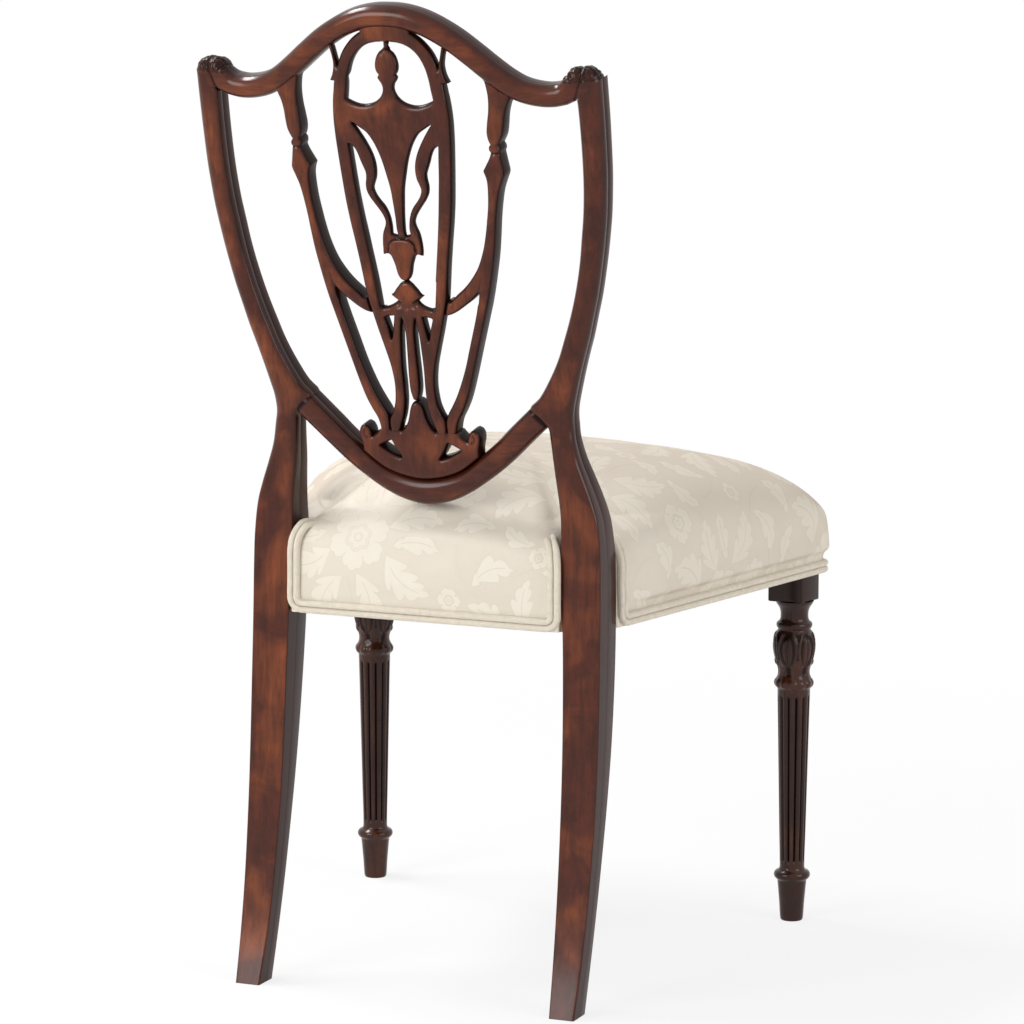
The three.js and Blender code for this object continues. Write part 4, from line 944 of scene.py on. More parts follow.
@dataclass(frozen=True)
class Damask(Substance):
    """Cream damask: matt flowers on a satin ground; at a slant the colour is painted darker and the pattern
    stronger, as painted satin sheen and shade.
    """

    name: str = "cream_damask"
    ground: tuple = (0.55, 0.466, 0.372, 1)
    flower: tuple = (0.81, 0.75, 0.64, 1)
    line: tuple = (0.52, 0.42, 0.31, 1)
    pitch: float = 1300.0

    def inputs(self, n: Nodes, place: Wire, groups: dict) -> dict:
        """The repeat's masks mix three creams, more so at a slant, where the colour is also painted darker:
        painted satin sheen and shade.
        """
        weave = n.group(groups["cloth_weave"], {"Vector": place, "Pitch": self.pitch})
        cloth_place = {"U": n.attribute("cloth_u"), "V": n.attribute("cloth_v")}
        drawn = n.group(groups["damask_repeat"], cloth_place)
        slant = n.wire("ShaderNodeLayerWeight", "Facing", {"Blend": 0.5})
        # Painted sheen and shade: the pattern's contrast, its ink lines and a general darkening grow as the
        # surface turns away from the view
        contrast = n.ramp(slant, 0.45, 0.85, 0.32, 1.0)
        shade = n.ramp(slant, 0.25, 0.65, 0.0, 0.42)
        drift = n.ramp(n.noise(place, 5.0, 2), 0.35, 0.68, 0.75, 1.0)
        bare = (1.0 - drawn["Flower"]) * contrast * drift
        cloth = n.mix((1.0 - shade) * bare + shade, self.flower, self.ground)
        cloth = n.mix(weave["Fleck"] * 0.16 * contrast, cloth, self.ground)
        ink = (drawn["Echo"] * 0.18 + drawn["Line"]).at_most(1.0)
        return {
            "Base Color": n.mix(ink * n.ramp(slant, 0.35, 0.9, 0.3, 0.65), cloth, self.line),
            "Roughness": n.ramp(drawn["Flower"], 0.0, 1.0, 0.45, 0.75),
            "Normal": n.bump(weave["Height"], 0.2, 0.3 * MM),
            "Specular IOR Level": 0.3,
            "Sheen Weight": 0.08,
        }


class Finish(Enum):
    """The finishes that the chair's pieces choose from."""

    MAHOGANY = Mahogany()
    CROSSWISE = Mahogany("polished_mahogany_crosswise", grain=(0.09, 1.0, 1.0))
    # A darker copy of the mahogany for the front legs: partly a heavier glaze, partly painted shade
    GLAZED_AND_SHADED = Mahogany(
        "polished_mahogany_glazed_and_shaded", main=(0.04, 0.0115, 0.0062, 1), warm=(0.13, 0.036, 0.0135, 1)
    )
    TIMBER = PlainTimber()
    STEEL = Steel()
    DAMASK = Damask()
    WELT = Cloth("welt_cloth", (0.74, 0.67, 0.56, 1), (0.66, 0.59, 0.48, 1), 1500.0, 0.7, 0.2 * MM)
    WEBBING = Cloth("jute_webbing", (0.33, 0.23, 0.12, 1), (0.24, 0.16, 0.08, 1), 380.0, 0.95, 0.8 * MM)
    HESSIAN = Cloth("jute_hessian", (0.36, 0.27, 0.15, 1), (0.25, 0.18, 0.09, 1), 520.0, 0.95, 0.6 * MM)
    STUFFING = Cloth("stuffing", (0.78, 0.7, 0.5, 1), (0.7, 0.62, 0.42, 1), 300.0, 0.95, 1 * MM)
    BLACK = Cloth("black_under_cloth", (0.012, 0.012, 0.013, 1), (0.02, 0.02, 0.021, 1), 900.0, 0.95)


class Workshop:
    """Keeps the materials, and builds, finishes, mounts and reports each piece."""

    def __init__(self) -> None:
        """Makes the node groups that the materials share."""
        self.groups = {
            "wood_figure": wood_figure_group(),
            "cloth_weave": cloth_weave_group(),
            "damask_repeat": DamaskRepeat().group(),
        }
        self.materials: dict[str, bpy.types.Material] = {}

    def dress(self, piece: bpy.types.Object, finish: Finish) -> None:
        """Gives a piece the only material of its slot, made once for each finish."""
        if finish.name not in self.materials:
            self.materials[finish.name] = finish.value.material(self.groups)
        piece.data.materials.clear()
        piece.data.materials.append(self.materials[finish.name])

    def mount(
        self, surface: Surface, name: str, sharp: float, finish: Finish, slot: str, *nodes: str
    ) -> bpy.types.Object:
        """Builds a piece, mounts it on the chair and hides what it stands for.

        Args:
            surface: its mesh.
            name: its name.
            sharp: angle in degrees over which an edge stays sharp.
            finish: its finish.
            slot: a material slot's name, not used.
            nodes: the CAD nodes that it replaces.

        Returns:
            The piece.
        """
        piece = surface.build(name, sharp)
        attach(piece, "root")
        if nodes:
            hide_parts(*nodes)
        self.dress(piece, finish)
        LOG.info("%s: %d vertices", name, len(piece.data.vertices))
        return piece

    def keep(self, names: tuple, finish: Finish, slot: str) -> None:
        """Gives CAD nodes that stay their finish."""
        for name in names:
            self.dress(frame["nodes"][name], finish)
            LOG.info("%s keeps its solid", name)


# ---- frame of the shield ----


@dataclass
class ShieldFrame:
    """Crest rail, stiles with the rear legs, and the lower rail."""

    crest_face: float = 21.5 * MM
    step: float = 2.4 * MM
    ear_step: float = 0.8 * MM
    joint: float = 0.05 * MM
    tongue: float = 9 * MM
    taper: float = 0.22
    crest_underside: tuple = (
        (0, 0.945), (0.06, 0.944), (0.115, 0.94), (0.17, 0.933), (0.225, 0.923), (0.31, 0.903),
        (0.4, 0.876), (0.485, 0.849), (0.565, 0.826), (0.65, 0.809), (0.75, 0.8005),
        (0.825, 0.8005), (0.885, 0.8055),
    )
    ear_inner: tuple = (0.9375, 0.815)
    ear_outer: tuple = (1.057, 0.856)
    ear_crease: tuple = ((0.94, 0.812), (0.95, 0.828), (0.962, 0.842), (0.978, 0.854), (0.995, 0.862))
    ear_top: tuple = (
        (0.855, 0.848), (0.885, 0.859), (0.92, 0.872), (0.965, 0.876), (1.01, 0.873), (1.045, 0.865),
    )
    stile_outer: tuple = (
        (0.7935, 0.174), (0.7935, 0.19), (0.8, 0.21), (0.8125, 0.23), (0.84, 0.27), (0.87, 0.31),
        (0.9025, 0.35), (0.93, 0.39), (0.9575, 0.43), (0.98, 0.47), (1, 0.51), (1.0175, 0.55),
        (1.0325, 0.59), (1.0425, 0.63), (1.05, 0.67), (1.055, 0.73), (1.0575, 0.79),
    )
    stile_inner: tuple = (
        (0.6675, 0.174), (0.63, 0.19), (0.5825, 0.209), (0.6325, 0.23), (0.695, 0.27), (0.745, 0.31),
        (0.7825, 0.35), (0.8175, 0.39), (0.8475, 0.43), (0.8725, 0.47), (0.8925, 0.51),
        (0.9075, 0.55), (0.9225, 0.59), (0.9325, 0.63), (0.9385, 0.67), (0.9415, 0.73), (0.94, 0.79),
    )
    rail_upper: tuple = (
        (0, 0.057), (0.1, 0.062), (0.2, 0.076), (0.31, 0.108), (0.4, 0.139), (0.45, 0.159),
        (0.5, 0.178), (0.5825, 0.209),
    )
    rail_lower: tuple = (
        (0, 0.001), (0.115, 0.009), (0.22, 0.027), (0.34, 0.058), (0.44, 0.089), (0.51, 0.115),
        (0.575, 0.14), (0.6675, 0.174),
    )
    # Rows of the leg: height, outer and inner face, back and depth, and lean
    leg_rows: tuple = (
        (0, 0.916, 0.7845, 1.328, 0.711, 0), (0.0875, 0.9235, 0.7735, 0.979, 0.642, 0),
        (0.175, 0.9295, 0.7655, 0.704, 0.642, 0), (0.2625, 0.9345, 0.76, 0.498, 0.688, 0),
        (0.35, 0.938, 0.7555, 0.337, 0.768, 0), (0.4375, 0.94, 0.752, 0.222, 0.86, 0),
        (0.525, 0.9395, 0.7475, 0.142, 0.94, 0), (0.6125, 0.9375, 0.7415, 0.08, 0.993, 0),
        (0.665, 0.936, 0.7365, 0.053, 1, 0), (0.735, 0.934, 0.729, 0.023, 0.986, 0),
        (0.785, 0.93, 0.7225, 0, 0.947, 0), (0.84, 0.915, 0.72, 0.014, 0.872, 0.2),
        (0.875, 0.8875, 0.71, 0.044, 0.803, 0.45), (0.91, 0.852, 0.696, 0.092, 0.734, 0.7),
        (0.945, 0.8185, 0.685, 0.154, 0.665, 0.9), (0.98, 0.8, 0.675, 0.22, 0.619, 1),
    )
    leg_depth: float = 43.6 * MM
    crotch_height: float = 572 * MM
    moulding: Moulding = Moulding()

    def crest_edges(self) -> tuple[Array, Array]:
        """Lower and upper edge of the left half: the face is square to the underside, then fans out."""
        lower = PLANE.flat(self.crest_underside)
        chain = np.vstack([lower, PLANE.flat([self.ear_inner])])
        along = chain[1:] - np.vstack([chain[:1], chain[:-2]])
        along[0] = (1.0, 0.0)
        along = unit(along)
        upper = lower + self.crest_face * np.stack([-along[:, 1], along[:, 0]], 1)
        ear = PLANE.flat([*self.ear_top, self.ear_outer])
        share = np.linspace(0.0, 1.0, len(ear))[:, None]
        fan = lower[-1] + (chain[-1] - lower[-1]) * share
        return np.vstack([lower[:-1], fan]), np.vstack([upper[:-1], ear])

    def carved(self, rings: Array) -> tuple[Array, Array]:
        """The leaf on an ear: ridges that fan out from its inner corner, cut by shallow steps.

        Args:
            rings: the crest's plain rings.

        Returns:
            How far each point is lifted, and the share of light that its hollows keep.
        """
        x, y, z = np.abs(rings[..., 0]), rings[..., 1], rings[..., 2]
        rear = PLANE.foot_depth + ORIGIN_SHIFT + math.tan(PLANE.rake) * (z - PLANE.foot)
        rise = z - math.sin(PLANE.rake) * (rear - y)
        wave = 1.6 * MM * np.abs(np.sin(x / (5.2 * MM) * math.pi))
        border = 911.5 * MM + 0.06 * (x - 190 * MM) - wave
        ear = smoothstep(rise, border, border + 1.6 * MM) * smoothstep(x, 174 * MM, 177 * MM)
        angle = np.arctan2(z - 899 * MM, x - 191 * MM) + 9 * (y - 245 * MM)
        ridge = np.abs(np.sin(4.5 * angle)) ** 0.6
        veins = np.abs(np.sin(18 * angle))
        steps = np.abs(np.sin((y - 200 * MM) / (6.5 * MM) * math.pi + 3.0 * angle))
        flat = np.stack([x.ravel(), rise.ravel()], 1)
        crease = beside_path(flat, PLANE.flat(self.ear_crease))[0].reshape(x.shape)
        crease = np.exp(-((crease / (1.7 * MM)) ** 2)) * (1 - ear)
        lift = ear * (2.3 * MM * ridge * (0.5 + 0.5 * steps) + 0.45 * MM * veins - 0.9 * MM)
        # Painted shade in the leaf's hollows, along a line under its border and along the crease beside the
        # ear; the whole leaf is also made half as open, which darkens it
        shut = 1 - 0.95 * ear * (1 - np.clip(ridge * (0.4 + 0.5 * steps) + 0.1 * veins, 0, 1))
        below = np.exp(-(((rise - border + 0.6 * MM) / (1.1 * MM)) ** 2))
        below = below * smoothstep(x, 172 * MM, 178 * MM)
        shade = shut * (1 - 0.5 * ear) * (1 - 0.8 * below) * (1 - 0.75 * crease)
        return lift - 1.3 * MM * crease, shade

    def crest(self) -> Surface:
        """The crest rail, domed at its ends, with a carved leaf on each ear."""
        pair = both_halves(np.stack(self.crest_edges(), axis=1))
        chord = np.linalg.norm(np.diff(pair.reshape(len(pair), -1), axis=0), axis=1)
        at_ear = np.abs((pair[1:] + pair[:-1])[:, 1, 0] / 2) > 160 * MM
        rows = smooth_rows(pair, np.ceil(chord / np.where(at_ear, self.ear_step, self.step)).astype(int))
        cap = smoothstep(np.abs(rows[:, 1, 0]), 166 * MM, 182 * MM)
        roll = Moulding(
            round_across=9.5 * MM, round_into=9.5 * MM, ease=5 * MM, line_depth=0.0, corner_points=19
        )
        rings, openness = moulded_rings(rows[:, 0], rows[:, 1], roll, 0.62 - 0.3 * cap, cap)
        lift, shade = self.carved(rings)
        made = skin(rings + ring_normals(rings) * lift[..., None])
        return made.shaded(openness * shade, 0.3)

    def lower_rail(self) -> Surface:
        """The rail under the splat, from stile to stile; a slimmer tongue runs on inside each stile."""
        pair = np.stack([PLANE.flat(self.rail_lower), PLANE.flat(self.rail_upper)], axis=1)
        onward = unit(pair[-1] - pair[-2])
        pair = np.concatenate([pair, (pair[-1] + onward * self.tongue)[None]])
        rows = smooth_run(both_halves(pair), self.step)
        reach = np.abs(rows[:, 0, 0])
        fullness = 0.3 + 0.6 * (1 - smoothstep(reach, 88 * MM, 122 * MM))
        rings, openness = moulded_rings(rows[:, 0], rows[:, 1], Moulding(), fullness)
        end = reach.max()
        within = smoothstep(reach, end - 0.8 * self.tongue, end)
        middle = rings.mean(1, keepdims=True)
        rings = middle + (rings - middle) * (1 - self.taper * within)[:, None, None]
        # Painted shade at the joint: the tongue inside each stile is made shut, which darkens it
        dark = smoothstep(reach, end - self.tongue, end - 0.6 * self.tongue)
        return skin(rings).shaded(openness * (1 - dark)[:, None], 0.2)

    def rear_leg(self) -> Surface:
        """The left leg and stile in one: square at the floor, moulded from the seat up."""
        row = np.asarray(self.leg_rows, float)
        height = row[:, 0] * self.crotch_height
        outer, inner = row[:, 1] * PLANE.half_span, row[:, 2] * PLANE.half_span
        lean = (row[:, 5] * PLANE.rake)[:, None]
        sharp = np.clip(1 - (562 * MM - height) / (112 * MM), 0.0, 1.0)
        across, into, low_open = self.moulding.section(
            outer - inner, row[:, 4] * self.leg_depth, sharp, 0.3 * sharp, 0 * sharp
        )
        x = inner[:, None] + across
        y = PLANE.foot_depth + row[:, 3:4] * self.leg_depth - into * np.cos(lean) + ORIGIN_SHIFT
        leg = np.stack([x, y, height[:, None] + into * np.sin(lean)], axis=-1)
        end = PLANE.flat([self.ear_inner, self.ear_outer]) - np.array([0.0, self.joint])
        low = np.vstack([PLANE.flat(self.stile_inner), end[:1]])
        high = np.vstack([PLANE.flat(self.stile_outer), end[1:]])
        stile, high_open = moulded_rings(low, high, self.moulding, 0.3)
        table = np.concatenate([leg, stile])
        spans = np.linalg.norm(np.diff(table.mean(1), axis=0), axis=1)
        counts = np.maximum(1, np.ceil(spans / (2 * self.step))).astype(int)
        openness = smooth_rows(np.concatenate([low_open, high_open])[..., None], counts)[..., 0]
        return skin(smooth_rows(table, counts)).shaded(np.clip(openness, 0, 1), 0.3)

    def build(self, shop: Workshop) -> None:
        """Builds and mounts the frame's pieces."""
        shop.mount(self.crest(), "crest", 60, Finish.CROSSWISE, "mahogany", "crest_rail")
        shop.mount(self.lower_rail(), "lower_rail", 60, Finish.CROSSWISE, "mahogany", "shield_lower_rail")
        leg = self.rear_leg()
        for side, surface in (("left", leg), ("right", leg.mirrored())):
            name = f"stile_and_leg_{side}"
            shop.mount(surface, name, 60, Finish.MAHOGANY, "mahogany", f"rear_leg_{side}")


# ---- pierced boards ----


@dataclass
class PiercedBoard:
    """A carved, pierced board laid on the back, its edges rounded by the distance to its outline."""

    outline: Array
    openings: list
    thickness: float
    rounding: float = 3.9 * MM
    crown: float = 1.2 * MM
    crown_reach: float = 9 * MM
    front_ease: float = 1.6 * MM
    inner_thickness: float = 0.0
    band: float = 0.0
    grooves: tuple = ()
    ledges: tuple = ()
    lip: float = 2.0 * MM
    steps: tuple = ()
    joints: tuple = ()
    coped: bool = False
    set_back: float = 3.6 * MM
    set_back_reach: float = 42 * MM
    crest_across: float = 10.2 * MM
    crest_into: float = 11.0 * MM
    spacing: float = 1.9 * MM
    # Rows beside an edge, as shares of the rounding, and beside a ledge, in millimetres
    set_rows: tuple = (0.12, 0.3, 0.56, 0.95)
    ledge_rows: tuple = (-2.0, -1.4, -0.8, -0.3, 0.1, 0.4, 0.9)

    def loops(self) -> tuple[Array, Array, Array, list[int]]:
        """The board's edges.

        Returns:
            Their starts, their ends, the step that arrives at each start, and the loops' sizes.
        """
        found = [smooth_loop(self.outline, 1.5 * MM)]
        found += [smooth_loop(opening, 1.3 * MM) for opening in self.openings]
        starts = np.vstack(found)
        ends = np.vstack([np.roll(loop, -1, axis=0) for loop in found])
        arrive = np.vstack([loop - np.roll(loop, 1, axis=0) for loop in found])
        return starts, ends, arrive, [len(loop) for loop in found]

    def scattered(self, starts: Array, ends: Array, arrive: Array) -> Array:
        """The edges' points, rows set back from them, a loose grid, and rows beside the ledges."""
        normal = unit(ends - starts) + unit(arrive)
        normal = unit(np.stack([-normal[:, 1], normal[:, 0]], 1))
        rows = [starts]

        def fitting(row: Array, room: float) -> Array:
            """The points that lie on the board, with some room to its edges."""
            return row[inside(row, starts, ends) & (distance_to(row, starts, ends) > room)]

        for share in self.set_rows:
            inset = share * self.rounding
            rows += [fitting(starts + way * inset * normal, 0.9 * inset) for way in (-1, 1)]
        low, high = self.outline.min(0), self.outline.max(0)
        count = np.ceil((high - low) / self.spacing).astype(int)
        gx, gz = np.meshgrid(np.linspace(low[0], high[0], count[0]), np.linspace(low[1], high[1], count[1]))
        gx[1::2] += self.spacing / 2
        rows.append(fitting(np.stack([gx.ravel(), gz.ravel()], 1), 1.25 * self.rounding))
        for path, _, _ in self.ledges:
            line = smooth_run(path, 1.0 * MM)
            way = np.gradient(line, axis=0)
            square = unit(np.stack([-way[:, 1], way[:, 0]], 1))
            rows += [fitting(line + off * MM * square, 0.35 * MM) for off in self.ledge_rows]
        return np.vstack(rows)

    def sheet(self) -> tuple[Array, Array, Array, Array]:
        """Triangles over the board.

        Returns:
            Flat points, triangles, distance to the nearest edge and to the outer outline.
        """
        starts, ends, arrive, sizes = self.loops()
        points = self.scattered(starts, ends, arrive)
        nexts = np.arange(1, len(starts) + 1)
        last = np.cumsum(sizes) - 1
        nexts[last] = last + 1 - np.array(sizes)
        edges = np.stack([np.arange(len(starts)), nexts], 1).tolist()
        found = delaunay_2d_cdt([Vector(p) for p in points.tolist()], edges, [], 0, 1e-8)
        flat = np.array([(p.x, p.y) for p in found[0]])
        triangles = np.array(found[2])
        a, b, c = (flat[triangles[:, k]] for k in range(3))
        area = (b - a)[:, 0] * (c - a)[:, 1] - (b - a)[:, 1] * (c - a)[:, 0]
        triangles = np.where((area < 0)[:, None], triangles[:, ::-1], triangles)
        triangles = triangles[inside((a + b + c) / 3, starts, ends) & (np.abs(area) > 1e-12)]
        used, back = np.unique(triangles, return_inverse=True)
        flat, triangles = flat[used], back.reshape(-1, 3)
        free = np.ones(len(starts), bool)
        for joint in self.joints:
            free &= distance_to((starts + ends) / 2, joint[:-1], joint[1:]) > 0.6 * MM
        rim = distance_to(flat, starts[free], ends[free])
        free[sizes[0] :] = False
        return flat, triangles, rim, distance_to(flat, starts[free], ends[free])

    def cuts(self, flat: Array, outer: Array) -> tuple[Array, Array]:
        """The grooves, ledges and steps in the rear face.

        Args:
            flat: flat points.
            outer: their distance to the outer outline.

        Returns:
            How deep each point lies, and the share of light that it keeps.
        """
        # light holds painted shade: darker along each groove and in the corner under each ledge
        rear, light = np.zeros(len(flat)), np.ones(len(flat))
        for path, width, cut, fade in self.grooves:
            off, share, _ = beside_path(flat, path)
            trench = np.exp(-((off / width) ** 2)) * (1 - fade * share)
            rear += cut * trench
            light = np.minimum(light, 1 - 0.8 * trench)
        near = 0.4 * MM
        for path, drop, reach in self.ledges:
            _, share, left = beside_path(flat, smooth_run(path, 1.0 * MM))
            ends = smoothstep(share, 0.0, 0.1) * (1 - smoothstep(share, 0.9, 1.0))
            turn = np.clip((left + self.lip) / (self.lip + near), 0.0, 1.0)
            fall = np.where(left > near, 1 - smoothstep(left, near, reach), 1 - np.sqrt(1 - turn**2))
            rear += drop * ends * np.where(left < -self.lip, 0.0, fall)
            corner = ends * np.exp(-(((left - 0.9 * MM) / (1.0 * MM)) ** 2))
            light = np.minimum(light, 1 - 0.85 * corner)
        z = flat[:, 1]
        for low, high, reach, cut in self.steps:
            zone = smoothstep(z, low - 2 * MM, low) * (1 - smoothstep(z, high, high + 2 * MM))
            rear += cut * zone * smoothstep(outer, reach - 0.5 * MM, reach + 0.6 * MM)
        return rear, light

    def surface(self) -> Surface:
        """The board as a closed mesh.

        Behind, a point lies deeper by a quarter circle within the rounding of an edge, by a soft
        crown further in, and by the grooves, ledges and steps that are cut there. Below the crest
        it sinks by the set back, and its edge rises along the crest's quarter ellipse. In front
        the edge is eased the same way. Walls join the two sheets along their free edges.
        """
        flat, triangles, rim, outer = self.sheet()
        x, z = flat.T
        rear, light = self.cuts(flat, outer)
        rear += self.rounding * (1 - half_round(1 - np.clip(rim / self.rounding, 0.0, 1.0)))
        rear += self.crown * (1 - np.clip(rim / self.crown_reach, 0.0, 1.0)) ** 2
        front = np.full(len(flat), self.thickness)
        if self.inner_thickness:
            deep = 1 - smoothstep(outer, self.band, self.band + 2.5 * MM)
            front = self.inner_thickness + (self.thickness - self.inner_thickness) * deep
        front -= self.front_ease * (1 - half_round(1 - np.clip(rim / self.front_ease, 0.0, 1.0)))
        front = np.maximum(front, rear + 1.0 * MM)
        cope = np.zeros(len(flat))
        if self.coped:
            gap = np.min([distance_to(flat, line[:-1], line[1:]) for line in self.joints[:2]], axis=0)
            rear += self.set_back * (1 - smoothstep(gap, 0.0, self.set_back_reach))
            turn = np.arcsin(np.clip(1 - rear / self.crest_into, 0.0, 1.0))
            curve = np.maximum(self.crest_across * (1 - np.cos(turn)) - 0.2 * MM, 0.0)
            cope = curve * np.clip(1 - gap / (3 * MM), 0.0, 1.0)
        count = len(flat)
        directed = np.vstack([triangles[:, [0, 1]], triangles[:, [1, 2]], triangles[:, [2, 0]]])
        code = directed[:, 0] * count + directed[:, 1]
        free = ~np.isin(code, directed[:, 1] * count + directed[:, 0])
        a, b = directed[free].T
        middle = np.unique(a)
        index = np.full(count, -1)
        index[middle] = 2 * count + np.arange(len(middle))
        halfway = PLANE.bend(x[middle], z[middle], (rear[middle] + front[middle]) / 2)
        upper = np.stack([index[b], index[a], a, b], 1)
        lower = np.stack([b + count, a + count, index[a], index[b]], 1)
        verts = np.vstack([PLANE.bend(x, z + cope, rear), PLANE.bend(x, z, front), halfway])
        # Painted shade: openness falls towards each free edge, the front sheet keeps half of it and the walls
        # are almost shut
        openness = (0.1 + 0.9 * smoothstep(rim, 0.0, 0.8 * self.rounding)) * light
        values = {"open": np.concatenate([openness, 0.5 * openness, np.full(len(middle), 0.06)])}
        return Surface(verts, [triangles[:, ::-1], triangles + count, upper, lower], values).outward()


def mirror_half(half: Array) -> Array:
    """A half outline and its mirror image in the middle line, as one closed outline."""
    back = flipped(half[::-1])
    return np.vstack([half, back[np.abs(back[:, 0]) > 1e-6]])


@dataclass
class Splat:
    """The pierced splat, its side bars and the shoe that they stand on."""

    thickness: float = 14 * MM
    bar_thickness: float = 20 * MM
    shoe_top: float = 562 * MM
    joint: float = 0.05 * MM
    frame: ShieldFrame = field(default_factory=ShieldFrame)
    top: tuple = (0, 0.03, 0.06, 0.09, 0.115)
    arch: tuple = ((0.165, 0.9286), (0.2, 0.916), (0.235, 0.898), (0.2625, 0.872))
    bracket: tuple = (0.2825, 0.3025)
    side: tuple = (
        (0.2925, 0.89), (0.2865, 0.874), (0.294, 0.856), (0.31, 0.843), (0.2875, 0.8416),
        (0.2925, 0.826), (0.3, 0.806), (0.306, 0.774), (0.305, 0.74), (0.299, 0.7), (0.29, 0.654),
        (0.28, 0.61), (0.2665, 0.57), (0.25, 0.53), (0.2325, 0.484), (0.2165, 0.436), (0.2075, 0.414),
        (0.1915, 0.39), (0.1675, 0.354), (0.14, 0.316), (0.119, 0.284), (0.108, 0.252), (0.1085, 0.23),
        (0.116, 0.208), (0.1325, 0.19), (0.15, 0.177),
    )
    foot: tuple = (0.15, 0.098)
    lyre: tuple = (
        (0.085, 0.168), (0.069, 0.186), (0.0575, 0.21), (0.054, 0.24), (0.055, 0.28), (0.051, 0.32),
        (0.045, 0.354), (0.035, 0.38), (0.025, 0.354), (0.025, 0.31), (0.0275, 0.266), (0.025, 0.236),
        (0.013, 0.218), (0, 0.2165),
    )
    arch_opening: tuple = (
        (0.015, 0.919), (0.06, 0.9176), (0.1, 0.913), (0.135, 0.905), (0.165, 0.893), (0.1925, 0.874),
        (0.21, 0.852), (0.22, 0.828), (0.2275, 0.81), (0.19, 0.803), (0.15, 0.799), (0.11, 0.8),
        (0.07, 0.806), (0.0425, 0.816), (0.029, 0.829), (0.034, 0.84), (0.047, 0.847), (0.052, 0.8525),
        (0.0445, 0.8575), (0.0555, 0.864), (0.06, 0.873), (0.057, 0.884), (0.049, 0.893),
        (0.037, 0.9), (0.021, 0.905), (0.012, 0.911),
    )
    vase_opening: tuple = (
        (0.205, 0.763), (0.17, 0.754), (0.135, 0.744), (0.105, 0.727), (0.085, 0.71), (0.0675, 0.69),
        (0.0525, 0.666), (0.037, 0.638), (0.0295, 0.61), (0.0235, 0.58), (0.0215, 0.544),
        (0.0465, 0.547), (0.0465, 0.566), (0.055, 0.584), (0.0725, 0.6), (0.1, 0.614), (0.1175, 0.625),
        (0.125, 0.636), (0.1175, 0.646), (0.1075, 0.656), (0.1025, 0.67), (0.105, 0.686),
        (0.1175, 0.704), (0.14, 0.723), (0.165, 0.74), (0.185, 0.752),
    )
    band_opening: tuple = (
        (0.2335, 0.722), (0.2275, 0.694), (0.2215, 0.66), (0.2125, 0.624), (0.2025, 0.586),
        (0.1915, 0.55), (0.179, 0.514), (0.1665, 0.48), (0.155, 0.446), (0.144, 0.4), (0.1, 0.404),
        (0.07, 0.41), (0.055, 0.415), (0.0775, 0.423), (0.0875, 0.426), (0.0725, 0.43), (0.06, 0.437),
        (0.0465, 0.443), (0.036, 0.448), (0.022, 0.4525), (0.008, 0.455), (0.022, 0.459),
        (0.034, 0.466), (0.0415, 0.476), (0.0465, 0.486), (0.055, 0.496), (0.065, 0.505),
        (0.0775, 0.508), (0.1025, 0.506),
        (0.105, 0.516), (0.1025, 0.534), (0.095, 0.55), (0.08, 0.565), (0.0775, 0.573), (0.0875, 0.584),
        (0.105, 0.595), (0.1275, 0.607), (0.1475, 0.618), (0.1625, 0.631), (0.165, 0.644),
        (0.16, 0.656), (0.16, 0.667), (0.17, 0.678), (0.182, 0.69), (0.193, 0.703), (0.209, 0.715),
    )
    lyre_eye: tuple = ((0.125, 0.381), (0.0775, 0.385), (0.085, 0.366), (0.099, 0.34), (0.11, 0.36))
    bar_inner: tuple = (
        (0.4925, 0.836), (0.499, 0.816), (0.4975, 0.792), (0.49, 0.77), (0.485, 0.75), (0.49, 0.737),
        (0.499, 0.729), (0.491, 0.725), (0.491, 0.717), (0.4965, 0.712), (0.4875, 0.702),
        (0.4675, 0.688), (0.451, 0.677), (0.46, 0.668), (0.4665, 0.656), (0.4665, 0.636),
        (0.4615, 0.61), (0.4515, 0.584), (0.4365, 0.552), (0.4175, 0.522), (0.385, 0.489),
        (0.35, 0.467), (0.31, 0.448), (0.265, 0.432), (0.229, 0.4195),
    )
    swag: tuple = (
        (0.2117, 0.4186), (0.1936, 0.389), (0.225, 0.392), (0.26, 0.399), (0.3, 0.41), (0.34, 0.422),
        (0.3775, 0.437),
    )
    bar_lower: tuple = (
        (0.365, 0.41), (0.345, 0.38), (0.3225, 0.35), (0.3, 0.32), (0.2775, 0.29), (0.25, 0.26),
        (0.2175, 0.23), (0.1875, 0.208), (0.1625, 0.191), (0.152, 0.178),
    )
    bar_foot: tuple = (0.152, 0.202)
    bar_outer: tuple = (
        (0.215, 0.176), (0.24, 0.194), (0.265, 0.214), (0.2875, 0.238), (0.31, 0.266), (0.3325, 0.296),
        (0.355, 0.326), (0.3775, 0.356), (0.4, 0.386), (0.4225, 0.416), (0.4435, 0.45), (0.46, 0.48),
        (0.475, 0.51), (0.4875, 0.544), (0.499, 0.58), (0.5125, 0.612), (0.5275, 0.638), (0.545, 0.656),
        (0.56, 0.672), (0.5565, 0.684), (0.55, 0.7), (0.5465, 0.712), (0.5515, 0.717), (0.55, 0.723),
        (0.5425, 0.728), (0.5525, 0.735), (0.565, 0.746), (0.574, 0.764), (0.5815, 0.784), (0.595, 0.802),
    )
    bar_top: tuple = (0.484, 0.505, 0.525, 0.545, 0.565, 0.59, 0.6125)
    dome: tuple = (
        (0, 0.215), (0.015, 0.213), (0.0275, 0.207), (0.0375, 0.197), (0.045, 0.185), (0.055, 0.173),
        (0.07, 0.163), (0.085, 0.157),
    )
    scroll: tuple = (
        (0.23, 0.146), (0.255, 0.14), (0.26, 0.149), (0.2725, 0.158), (0.2925, 0.162), (0.3125, 0.158),
        (0.323, 0.149), (0.3215, 0.137), (0.314, 0.126),
    )
